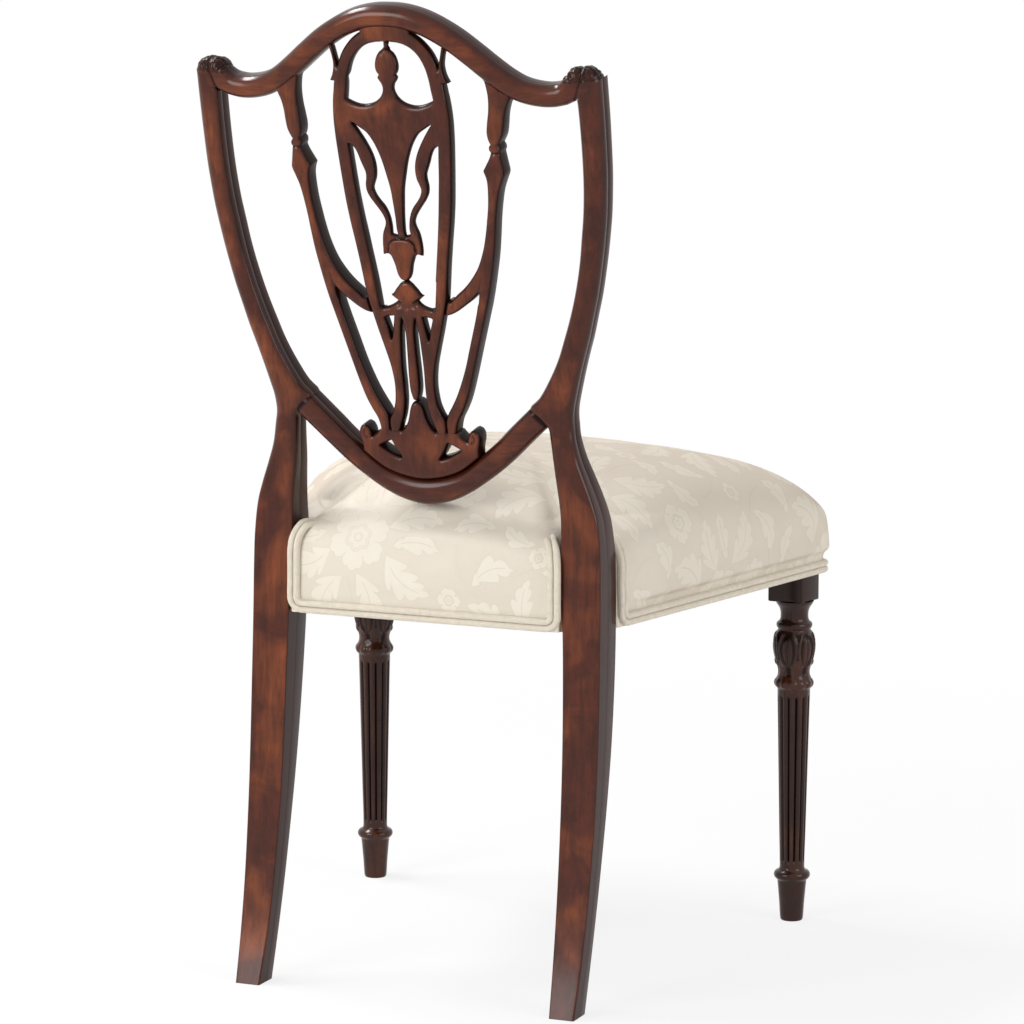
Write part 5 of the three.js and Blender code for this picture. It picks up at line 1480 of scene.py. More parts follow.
    shoe_top_edge: tuple = ((0.098, 0.154), (0.209, 0.154))
    shoe_seat: tuple = (0.31, 0.2, 0.1)
    shoe_opening: tuple = (
        (0.215, 0.121), (0.18, 0.128), (0.1525, 0.133), (0.13, 0.116), (0.1025, 0.1), (0.155, 0.107),
    )

    # Cuts in the left half: path in shares, half width, depth and how much they fade to their end
    splat_grooves: tuple = (
        (((0.07, 0.848), (0.03, 0.846)), 0.9 * MM, 1.0 * MM, 1.0),
        (((0.07, 0.8575), (0.03, 0.857)), 0.9 * MM, 1.0 * MM, 1.0),
        (((0.2625, 0.872), (0.272, 0.852), (0.285, 0.8416)), 0.9 * MM, 1.4 * MM, 0.4),
        (((0.035, 0.38), (0.022, 0.406)), 1.0 * MM, 1.4 * MM, 0.8),
        (((0.0, 0.4555), (0.02, 0.4555)), 1.0 * MM, 1.8 * MM, 0.0),
    )
    bar_grooves: tuple = (
        (((0.48, 0.727), (0.52, 0.7255), (0.56, 0.727)), 0.9 * MM, 1.6 * MM, 0.0),
        (((0.48, 0.714), (0.52, 0.7125), (0.56, 0.714)), 0.9 * MM, 1.6 * MM, 0.0),
        (((0.37, 0.416), (0.395, 0.46), (0.43, 0.51)), 1.2 * MM, 1.6 * MM, 1.0),
    )
    shoe_grooves: tuple = (
        (((0.262, 0.139), (0.275, 0.137), (0.289, 0.14), (0.2965, 0.1465), (0.29, 0.1525)),
         1.0 * MM, 1.4 * MM, 0.3),
        (((0.151, 0.156), (0.151, 0.14)), 2.2 * MM, 3.2 * MM, 1.0),
    )
    # Overlaps in the splat's face: path in shares with the deeper side on its left, drop and reach
    ledges: tuple = (
        (((-0.07, 0.507), (-0.067, 0.518), (-0.06, 0.529), (-0.04, 0.5355), (0.0, 0.5375),
          (0.04, 0.5355), (0.06, 0.529), (0.067, 0.518), (0.07, 0.507)), 2.6 * MM, 12 * MM),
        (((-0.03, 0.9055), (0.03, 0.9055)), 2.4 * MM, 5 * MM),
        (((0.03, 0.9195), (-0.03, 0.9195)), 2.4 * MM, 5 * MM),
        (((0.09, 0.427), (0.06, 0.42), (0.025, 0.413)), 1.8 * MM, 9 * MM),
        (((-0.025, 0.413), (-0.06, 0.42), (-0.09, 0.427)), 1.8 * MM, 9 * MM),
    )

    def under_crest(self, shares: Array) -> Array:
        """Flat points of a top edge, a joint's gap under the crest."""
        line = PLANE.flat([*self.frame.crest_underside, self.frame.ear_inner])
        x = np.asarray(shares) * PLANE.half_span
        return np.stack([x, np.interp(x, line[:, 0], line[:, 1]) - self.joint], 1)

    def on_shoe(self, shares: Array) -> Array:
        """Flat points of a foot, a joint's gap over the shoe."""
        x = np.asarray(shares) * PLANE.half_span
        return np.stack([x, np.full(len(x), self.shoe_top + self.joint)], 1)

    def board(
        self, outline: Array, openings: list, thickness: float, grooves: tuple, sides: tuple, **cuts
    ) -> Surface:
        """A board of the back, with sharp edges where it meets the crest and the shoe.

        Args:
            outline: its flat outline.
            openings: its flat openings.
            thickness: its thickness.
            grooves: the grooves of its left half.
            sides: 1 for grooves on the left, -1 for their mirror images.
            cuts: what else its face has.

        Returns:
            The closed mesh.
        """
        lines = (self.under_crest(np.linspace(0, 0.7, 60)), self.on_shoe((0.09, 0.215)))
        made = [
            (PLANE.flat(path) * np.array([side, 1.0]), width, cut, fade)
            for side in sides
            for path, width, cut, fade in grooves
        ]
        joints = [line for found in lines for line in (found, flipped(found))]
        return PiercedBoard(
            outline, openings, thickness, grooves=tuple(made), joints=tuple(joints), **cuts
        ).surface()

    def splat(self) -> Surface:
        """The middle board: an oval band round a finial, a vase, ribbons, a tassel and a lyre."""
        half = np.vstack([
            self.under_crest(self.top), PLANE.flat(self.arch), self.under_crest(self.bracket),
            PLANE.flat(self.side), self.on_shoe(self.foot), PLANE.flat(self.lyre),
        ])
        openings = []
        for shares in (self.arch_opening, self.vase_opening, self.band_opening, self.lyre_eye):
            openings += [PLANE.flat(shares), flipped(PLANE.flat(shares))]
        return self.board(
            mirror_half(half),
            openings,
            self.thickness,
            self.splat_grooves,
            (1, -1),
            inner_thickness=8.5 * MM,
            band=12.5 * MM,
            ledges=tuple((PLANE.flat(path), drop, reach) for path, drop, reach in self.ledges),
            steps=((670 * MM, 712 * MM, 11.5 * MM, 1.4 * MM),),
            coped=True,
        )

    def bar(self) -> Surface:
        """The left side bar with its swag arm."""
        outline = np.vstack([
            self.under_crest(self.bar_top[:1]), PLANE.flat(self.bar_inner), PLANE.flat(self.swag),
            PLANE.flat(self.bar_lower), self.on_shoe(self.bar_foot), PLANE.flat(self.bar_outer),
            self.under_crest(self.bar_top[:0:-1]),
        ])
        return self.board(outline, [], self.bar_thickness, self.bar_grooves, (1,), coped=True)

    def shoe(self) -> Surface:
        """The shoe: a dome in the middle, a triangular hole and a scroll at each side."""
        rail = PLANE.flat(self.frame.rail_upper)
        x = np.asarray(self.shoe_seat) * PLANE.half_span
        seat = np.stack([x, np.interp(x, rail[:, 0], rail[:, 1]) + self.joint], 1)
        foot = [[0.0, rail[0, 1] + self.joint]]
        top = [PLANE.flat(part) for part in (self.dome, self.shoe_top_edge, self.scroll)]
        hole = PLANE.flat(self.shoe_opening)
        half = np.vstack([*top, seat, foot])
        holes = [hole, flipped(hole)]
        return self.board(mirror_half(half), holes, self.bar_thickness, self.shoe_grooves, (1, -1))

    def build(self, shop: Workshop) -> None:
        """Builds and mounts the splat, the bars and the shoe."""
        shop.mount(self.splat(), "splat", 50, Finish.MAHOGANY, "mahogany", "centre_splat")
        shop.mount(self.shoe(), "shoe", 50, Finish.MAHOGANY, "mahogany", "splat_shoe")
        bar = self.bar()
        for side, surface in (("left", bar), ("right", bar.mirrored())):
            name = f"bar_and_swag_{side}"
            shop.mount(surface, name, 50, Finish.MAHOGANY, "mahogany", f"side_bar_{side}")


# ---- front legs ----


@dataclass
class FrontLegs:
    """Turned, carved and reeded front legs with their square blocks."""

    axis: tuple = (242.2 * MM, -232.1 * MM)
    sides: int = 144
    reeds: int = 12
    reed_cut: float = 2.4 * MM
    reed_run: tuple = (61 * MM, 245 * MM)
    reed_end: float = 6 * MM
    leaves: int = 6
    # Heights and radii from the floor to the block, in millimetres
    profile: tuple = (
        (0, 11.2), (1, 11.8), (20, 13.3), (41, 15.2), (43.5, 15.6), (45, 17.2), (47, 18.7), (49, 19.1),
        (51, 18.7), (53, 17.2), (54, 14.6), (56.5, 13.2), (60, 13), (100, 13.9), (160, 15.2),
        (220, 16.5), (244, 17.1), (249, 17.3), (250.5, 18.4), (252, 20), (255, 20.9), (258, 20.2),
        (260.5, 18.3), (264, 16.9), (268, 16.6), (274, 18), (282, 20.6), (290, 22.3), (297, 22.6),
        (304, 21.7), (309, 19.6), (311.5, 17.4), (313, 17.1), (314.5, 18.2), (317, 18.9), (319.5, 18.2),
        (321, 16.2), (323, 15), (327, 14.5), (332, 14.9), (336, 16.4), (339, 18.4), (341, 19.6),
        (342.8, 20.2),
    )
    block_half: float = 18.5 * MM
    block_cut: float = 5 * MM
    block_ease: float = 0.9 * MM
    # The block's lower rows: height over its underside and share of the plan
    block_rows: tuple = ((0, 0.945), (0.5 * MM, 0.985), (1.2 * MM, 1.0))
    block_low: float = 343 * MM
    block_high: float = 438 * MM
    side_run: tuple = (83.5, 384.8)

    def bulb(self, z: Array, angle: Array) -> tuple[Array, Array]:
        """The carved bulb: pointed loops with a leaf in each, and smaller leaves below.

        Args:
            z: heights, one a row.
            angle: angles round the leg.

        Returns:
            How far each point is lifted, and how much of it is hollow.
        """
        zone = smoothstep(z, 262 * MM, 268 * MM) * (1 - smoothstep(z, 308 * MM, 311 * MM))
        share = np.clip((z - 264 * MM) / (46 * MM), 0, 1)
        phase = (self.leaves * angle / (2 * math.pi)) % 1.0
        side = np.abs(phase - 0.5) * 2
        loop = half_round((share - 0.62) / 0.42)
        rim = np.exp(-(((side - 0.88 * loop) / 0.13) ** 2)) * (loop > 0.05)
        leaf = smoothstep(0.55 * half_round((share - 0.55) / 0.34) - side, 0.0, 0.12)
        vein = np.exp(-((side / 0.07) ** 2)) * leaf
        low_side = np.abs(((phase + 0.5) % 1.0) - 0.5) * 2
        low_leaf = smoothstep(0.8 * half_round((share - 0.1) / 0.28) - low_side, 0.0, 0.15)
        ribs = 0.5 + 0.5 * np.cos(26 * math.pi * (share + 0.35 * side))
        lift = 1.6 * rim + 1.1 * leaf - 0.7 * vein + 1.3 * low_leaf - 0.35 * ribs * leaf - 1.3
        hollow = 1 - np.clip(0.15 + rim + 0.8 * leaf - 0.6 * vein + low_leaf, 0, 1)
        return zone * lift * MM, zone * hollow

    def turned(self) -> Surface:
        """The turned leg: a radius for each height, cut by reeds, with a carved bulb and collar."""
        table = np.asarray(self.profile) * MM
        counts = np.maximum(1, np.ceil(np.diff(table[:, 0]) / (1.3 * MM))).astype(int)
        rows = smooth_rows(table, counts)
        z, radius = rows[:, :1], rows[:, 1:]
        angle = np.linspace(0, 2 * math.pi, self.sides, endpoint=False)[None]
        low, high = self.reed_run
        run = smoothstep(z, low, low + self.reed_end) * (1 - smoothstep(z, high - self.reed_end, high))
        wave = np.abs(np.sin(self.reeds * angle / 2))
        lift, hollow = self.bulb(z, angle)
        collar = smoothstep(z, 249 * MM, 252 * MM) * (1 - smoothstep(z, 259 * MM, 262 * MM))
        beads = (0.5 + 0.5 * np.cos(2 * self.leaves * angle)) ** 2
        reach = radius - self.reed_cut * run * (1 - wave) ** 1.5 + lift - collar * 0.9 * MM * beads
        x = self.axis[0] + reach * np.cos(angle)
        y = self.axis[1] + reach * np.sin(angle)
        rings = np.stack(np.broadcast_arrays(x, y, z), axis=-1)
        # Painted shade: the leg is 0.8 open, less in the reeds' grooves and the carving's hollows
        openness = np.clip(0.8 - 0.8 * run * (1 - wave) ** 1.2 - 0.75 * hollow, 0.05, 1)
        return skin(rings).shaded(openness, 0.2)

    def block(self) -> Surface:
        """The square block, its outer corner cut off, side face along the seat's side."""
        lean = math.atan2(*self.side_run)
        half, cut = self.block_half, self.block_cut
        square = np.array([
            (half, half), (half, -half + cut), (half - cut, -half), (-half, -half), (-half, half),
        ])
        skewed = square[:, 0] / math.cos(lean) - square[:, 1] * math.tan(lean)
        plan = np.stack([self.axis[0] + skewed, self.axis[1] + square[:, 1]], 1)
        before = plan - unit(plan - np.roll(plan, 1, axis=0)) * self.block_ease
        after = plan + unit(np.roll(plan, -1, axis=0) - plan) * self.block_ease
        ring = np.stack([before, plan * 0.5 + (before + after) * 0.25, after], axis=1).reshape(-1, 2)
        middle = ring.mean(0)
        rows = [(self.block_low + rise, share) for rise, share in self.block_rows]
        rows += [(height, 1.0) for height in np.linspace(self.block_low + 4 * MM, self.block_high, 8)]
        z, share = np.array(rows).T
        points = middle + (ring - middle)[None] * share[:, None, None]
        made = skin(np.concatenate([points, np.broadcast_to(z[:, None, None], (*points.shape[:2], 1))], 2))
        # Painted shade: the whole block is made 0.45 open, which darkens it evenly
        made.values["open"] = np.full(len(made.verts), 0.45)
        return made

    def build(self, shop: Workshop) -> None:
        """Builds and mounts both legs and both blocks."""
        turned, block = self.turned(), self.block()
        sides = (("left", turned, block), ("right", turned.mirrored(), block.mirrored()))
        for side, leg, square in sides:
            name = f"turned_leg_{side}"
            shop.mount(leg, name, 70, Finish.GLAZED_AND_SHADED, "mahogany", f"front_leg_{side}")
            shop.mount(square, f"leg_block_{side}", 35, Finish.GLAZED_AND_SHADED, "mahogany")


# ---- seat ----


@dataclass(frozen=True)
class SeatPlan:
    """Outline of the seat at its bottom edge, and the crown that rises from it."""

    bottom: float = 372 * MM
    crown_top: float = 521 * MM
    rear_half: float = 144 * MM
    rear_depth: float = 187 * MM
    notch_depth: float = 140.8 * MM
    notch_half: float = 187.5 * MM
    front_half: float = 271 * MM
    front_depth: float = -244 * MM
    front_bow: float = 8 * MM
    corner_reach: float = 17 * MM
    mean_reach: float = 205 * MM
    bulge: float = 8.4 * MM
    bulge_run: float = 60 * MM
    welt_width: float = 13 * MM
    shoulder: float = 20.0
    shoulder_start: float = 66 * MM
    shoulder_reach: float = 36 * MM
    shoulder_width: float = 22 * MM
    joint: float = 0.3 * MM
    rows: tuple = (
        (0, 1, 1, 1, 0), (0.094, 1, 1, 1, 0), (0.2, 1, 1, 1, 0.92), (0.3, 1, 1, 0.99, 1),
        (0.45, 0.998, 1, 0.97, 0.76), (0.6, 0.96, 0.985, 0.92, 0.9), (0.72, 0.905, 0.885, 0.84, 0.92),
        (0.825, 0.83, 0.78, 0.71, 0.76), (0.905, 0.72, 0.69, 0.56, 0.58),
        (0.965, 0.555, 0.555, 0.35, 0.34), (0.992, 0.34, 0.34, 0.13, 0.1), (1, 0.1, 0.1, 0, 0),
    )

    @property
    def side_angle(self) -> float:
        """Angle of the seat's side from straight ahead."""
        return math.atan2(self.front_half - self.notch_half, self.notch_depth - self.front_depth)

    @property
    def upright_front(self) -> float:
        """Depth just in front of the upright welt."""
        return self.notch_depth - self.welt_width - 2 * self.joint

    def side_at(self, depth: Array | float, inset: float = 0.0) -> Array | float:
        """Half width of the seat at a depth, moved in square to its side."""
        share = (self.notch_depth - depth) / (self.notch_depth - self.front_depth)
        half = self.notch_half + share * (self.front_half - self.notch_half)
        return half - inset / math.cos(self.side_angle)

    def front_corner(self) -> Array:
        """Rounded front corner, as a parabola between its two tangent points."""
        corner = np.array([self.front_half, self.front_depth])
        way = np.array([math.sin(self.side_angle), -math.cos(self.side_angle)])
        start, end = corner - way * self.corner_reach, corner - np.array([self.corner_reach, 0.0])
        t = np.linspace(0, 1, 9)[:, None]
        return (1 - t) ** 2 * start + 2 * t * (1 - t) * corner + t**2 * end

    def front_edge(self) -> Array:
        """Bowed front edge, from the corner to the middle."""
        reach = self.front_half - self.corner_reach
        share = np.linspace(1, 0, 9)[1:]
        return np.stack([share * reach, self.front_depth - self.front_bow * (1 - share**2)], 1)

    def outline(self, step: float) -> Array:
        """The closed plan, evenly spaced, with small rounds at the notches for the rear legs."""
        corners = [
            (0.0, self.rear_depth), (self.rear_half, self.rear_depth),
            (self.rear_half, self.notch_depth), (self.notch_half, self.notch_depth),
        ]
        loop = mirror_half(np.vstack([corners, self.front_corner(), self.front_edge()]))
        closed = np.vstack([loop, loop[:1]])
        length = run_along(closed)[-1]
        even = at_lengths(closed, np.linspace(0, length, 4000, endpoint=False))
        soft = softened(even, 5, axis=0)
        pick = np.linspace(0, len(soft), int(round(length / step)), endpoint=False)
        wrapped = np.vstack([soft, soft[:1]])
        return np.stack([np.interp(pick, np.arange(len(wrapped)), axis) for axis in wrapped.T], 1)

    def crown(self, plan: Array, rise: Array, inset: float = 0.0) -> Array:
        """Rings of the crown over the plan.

        Each row draws the plan in by a share, turns it from its own outline towards a circle of
        the mean reach, and adds the swell of the sides. Near the corners by the rear legs it also
        draws it in by the shoulder times the square of the height over the shoulder's start,
        which dies out with the share.

        Args:
            plan: points of the outline, unshifted.
            rise: rows of [height, side share, rear share, squareness, swell].
            inset: distance that the whole crown is drawn in.

        Returns:
            Rings, rows by points by 3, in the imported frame.
        """
        reach = np.linalg.norm(plan, axis=1)[None]
        x, y = np.abs(plan[:, 0]), plan[:, 1]
        height, side, rear, square, swell = (rise[:, k][:, None] for k in range(5))
        height = height * (self.crown_top - self.bottom)
        behind = smoothstep(y[None], self.notch_depth - 1 * MM, self.notch_depth + 3 * MM)
        share = side + (rear - side) * behind
        full = self.mean_reach * (reach / self.mean_reach) ** square
        grows = np.clip((self.upright_front - y[None]) / self.bulge_run, 0, 1)
        grows = (smoothstep(grows, 0, 1) + grows) / 2
        drawn = share * full + self.bulge * swell * grows - inset * math.sqrt(2)
        above = np.clip(height - self.shoulder_start, 0.0, self.shoulder_reach)
        corner = np.minimum(
            np.hypot(x - self.rear_half, y - self.rear_depth),
            np.hypot(x - self.notch_half, y - self.notch_depth),
        )
        near = np.exp(-((corner[None] / (self.shoulder_width + 1.5 * above)) ** 2))
        drawn = drawn - self.shoulder * above**2 * near * share**2
        out = np.maximum(drawn, np.minimum(0.3 * MM + 0.1 * share * full, drawn + 1.0))
        place = plan[None] / reach[..., None] * out[..., None]
        z = self.bottom + height - inset * (1 - share**4)
        return np.stack([place[..., 0], place[..., 1] + ORIGIN_SHIFT, np.broadcast_to(z, out.shape)], -1)

    def refined(self, per_row: int) -> Array:
        """The crown's rows with more rows between them, upright over the lowest span."""
        rows = np.asarray(self.rows, float)
        made = smooth_rows(rows, np.full(len(rows) - 1, per_row))
        made[:, 0] = np.clip(made[:, 0], 0, 1)
        made[: per_row + 1, 4] = 0
        made[: per_row + 1, 1:4] = 1
        return made


@dataclass
class Cushion:
    """The crowned seat: stuffing under a damask cover that is pulled down over the rails."""

    plan: SeatPlan = SeatPlan()
    drape: tuple = (230 * MM, 215 * MM)
    step: float = 3.2 * MM
    ease: int = 9
    coarse: int = 5
    rows: int = 11
    coarse_rows: int = 4
    inset: float = 1.6 * MM
    held: float = 18 * MM
    pressure: float = 4.0
    stiffness: float = 40.0
    swell_share: float = 0.55
    swell_limit: float = 5 * MM
    frames: int = 20
    tuck_place: tuple = (165 * MM, 140 * MM)
    tuck_width: float = 30 * MM
    tuck_depth: float = 0.7 * MM
    stuffing_foot: float = 443.4 * MM

    def pulled(self, plan: Array, rows: Array) -> Array:
        """Swells the crown as cloth under pressure, and returns how far each point moves outward.

        A coarse crown is held at its lower edge, blown up by a light pressure and let settle.

        Args:
            plan: coarse outline.
            rows: coarse rows.

        Returns:
            Distances, rows by points.
        """
        rings = self.plan.crown(plan, rows, self.inset)
        surface = skin(rings, caps=False)
        top = len(surface.verts)
        count = rings.shape[1]
        ring = (len(rings) - 1) * count + np.arange(count)
        surface.verts = np.vstack([surface.verts, rings[-1].mean(0)])
        surface.faces.append(np.stack([ring, np.roll(ring, -1), np.full(count, top)], 1))
        blown = surface.outward().build("cover_tension")
        pins = blown.vertex_groups.new(name="held")
        low = np.flatnonzero(surface.verts[:, 2] < self.plan.bottom + self.held)
        pins.add(low.tolist(), 1.0, "REPLACE")
        cloth = blown.modifiers.new("tension", "CLOTH").settings
        cloth.vertex_group_mass = pins.name
        cloth.use_pressure = True
        cloth.uniform_pressure_force = self.pressure
        cloth.tension_stiffness = cloth.compression_stiffness = self.stiffness
        cloth.bending_stiffness = 2
        cloth.quality = 6
        cloth.effector_weights.gravity = 0
        scene = bpy.context.scene
        for number in range(1, self.frames + 1):
            scene.frame_set(number)
        shaped = blown.evaluated_get(bpy.context.evaluated_depsgraph_get()).to_mesh()
        moved = np.zeros(len(shaped.vertices) * 3)
        shaped.vertices.foreach_get("co", moved)
        moved = moved.reshape(-1, 3)[:top].reshape(rings.shape)
        distance = ((moved - rings) * ring_normals(rings)).sum(2)
        bpy.data.objects.remove(blown)
        scene.frame_set(1)
        return np.clip(distance, -self.swell_limit, self.swell_limit)

    def tension(self, plan: Array, rows: int) -> Array:
        """The simulated swell at each point of the fine crown, read off the coarse one.

        Args:
            plan: fine outline.
            rows: number of fine rows.

        Returns:
            Distances over their median, rows by points.
        """
        coarse = plan[:: self.coarse]
        found = self.pulled(coarse, self.plan.refined(self.coarse_rows))
        wrapped = np.concatenate([found, found[:, :1]], axis=1)
        at = np.arange(len(plan)) * len(coarse) / len(plan)
        left = np.minimum(at.astype(int), found.shape[1] - 1)
        across = wrapped[:, left] + (wrapped[:, left + 1] - wrapped[:, left]) * (at - left)
        down = np.linspace(0, len(found) - 1, rows)
        low = np.minimum(down.astype(int), len(found) - 2)
        swell = across[low] + (across[low + 1] - across[low]) * (down - low)[:, None]
        LOG.info("tension moves the cover %.1f to %.1f mm", swell.min() / MM, swell.max() / MM)
        return swell - np.median(swell[rows // 3 :])

    def flat_cloth(self, rings: Array) -> Array:
        """Flat cloth coordinates of the cover.

        They are a point's plan plus what the arc from the top's middle exceeds the plan's reach
        by, along the outward direction of a rounded oblong.

        Args:
            rings: the cover's rings.

        Returns:
            Rows by points by 2.
        """
        travel = np.linalg.norm(np.diff(rings[::-1], axis=0), axis=2)
        arc = np.vstack([np.zeros((1, rings.shape[1])), np.cumsum(travel, axis=0)])[::-1]
        arc = arc + np.linalg.norm(rings[-1] - rings[-1].mean(0), axis=1)[None]
        place = rings[..., :2] - np.array([0.0, ORIGIN_SHIFT])
        way = unit(place**3 / np.array(self.drape) ** 4)
        return place + way * (arc - np.linalg.norm(place, axis=2))[..., None]

    def cover(self) -> Surface:
        """The damask cover: crown, tension from the simulation, small tucks, and cloth coordinates.

        Up the crown, each ring is averaged with its neighbours, so the folds over the corners stay soft.
        """
        plan = self.plan.outline(self.step)
        rings = self.plan.crown(plan, self.plan.refined(self.rows))
        high = smoothstep(rings[..., 2:], 436 * MM, 466 * MM)
        rings[..., :2] += (softened(rings, self.ease, axis=1) - rings)[..., :2] * high
        swell = self.tension(plan, len(rings))
        x, y, z = np.abs(rings[..., 0]), rings[..., 1] - ORIGIN_SHIFT, rings[..., 2]
        beside, behind = x - self.tuck_place[0], y - self.tuck_place[1]
        tuck = np.exp(-((np.hypot(beside, behind) / self.tuck_width) ** 2)) * self.tuck_depth
        tuck = tuck * np.sin(9 * np.arctan2(behind, beside)) * smoothstep(z, 425 * MM, 455 * MM)
        ripple = 0.35 * MM * np.sin(x * 41 + 3 * np.sin(y * 23)) * np.sin(y * 37 + 2 * np.sin(x * 31))
        lift = smoothstep(z, 388 * MM, 410 * MM) * (self.swell_share * swell + tuck + ripple)
        rings = rings + ring_normals(rings) * lift[..., None]
        rings[..., 2] = np.minimum(rings[..., 2], self.plan.crown_top + 1.5 * MM)
        foot = rings[0] + np.array([0.0, 0.0, 0.6 * MM])
        middle = foot.mean(0)
        lows = np.stack([middle + (foot - middle) * share for share in (0.02, 0.5, 0.9, 0.985)])
        lows[..., 2] = foot[0, 2]
        made = skin(np.concatenate([lows, rings]))
        cloth = self.flat_cloth(rings)
        for axis, key in enumerate(("cloth_u", "cloth_v")):
            value = cloth[..., axis]
            edge = np.broadcast_to(value[0], (len(lows), value.shape[1]))
            made.values[key] = np.concatenate([edge.ravel(), value.ravel(), [0.0, value[-1].mean()]])
        return made

    def stuffing(self) -> Surface:
        """The stuffing: the same crown drawn in, flat underneath on the hessian."""
        rings = self.plan.crown(self.plan.outline(9 * MM), self.plan.refined(3), 6 * MM)
        rings = rings[rings[:, :, 2].min(1) > self.stuffing_foot + 3 * MM]
        foot = rings[0].copy()
        foot[:, 2] = self.stuffing_foot
        drawn = foot * np.array([0.5, 0.5, 1.0])
        return skin(np.concatenate([drawn[None], foot[None], rings]))

    def build(self, shop: Workshop) -> None:
        """Builds and mounts the cover and the stuffing."""
        cover = shop.mount(self.cover(), "damask_seat", 75, Finish.DAMASK, "damask", "seat_cover")
        stuffing = shop.mount(self.stuffing(), "seat_stuffing", 60, Finish.STUFFING, "foam", "seat_foam")


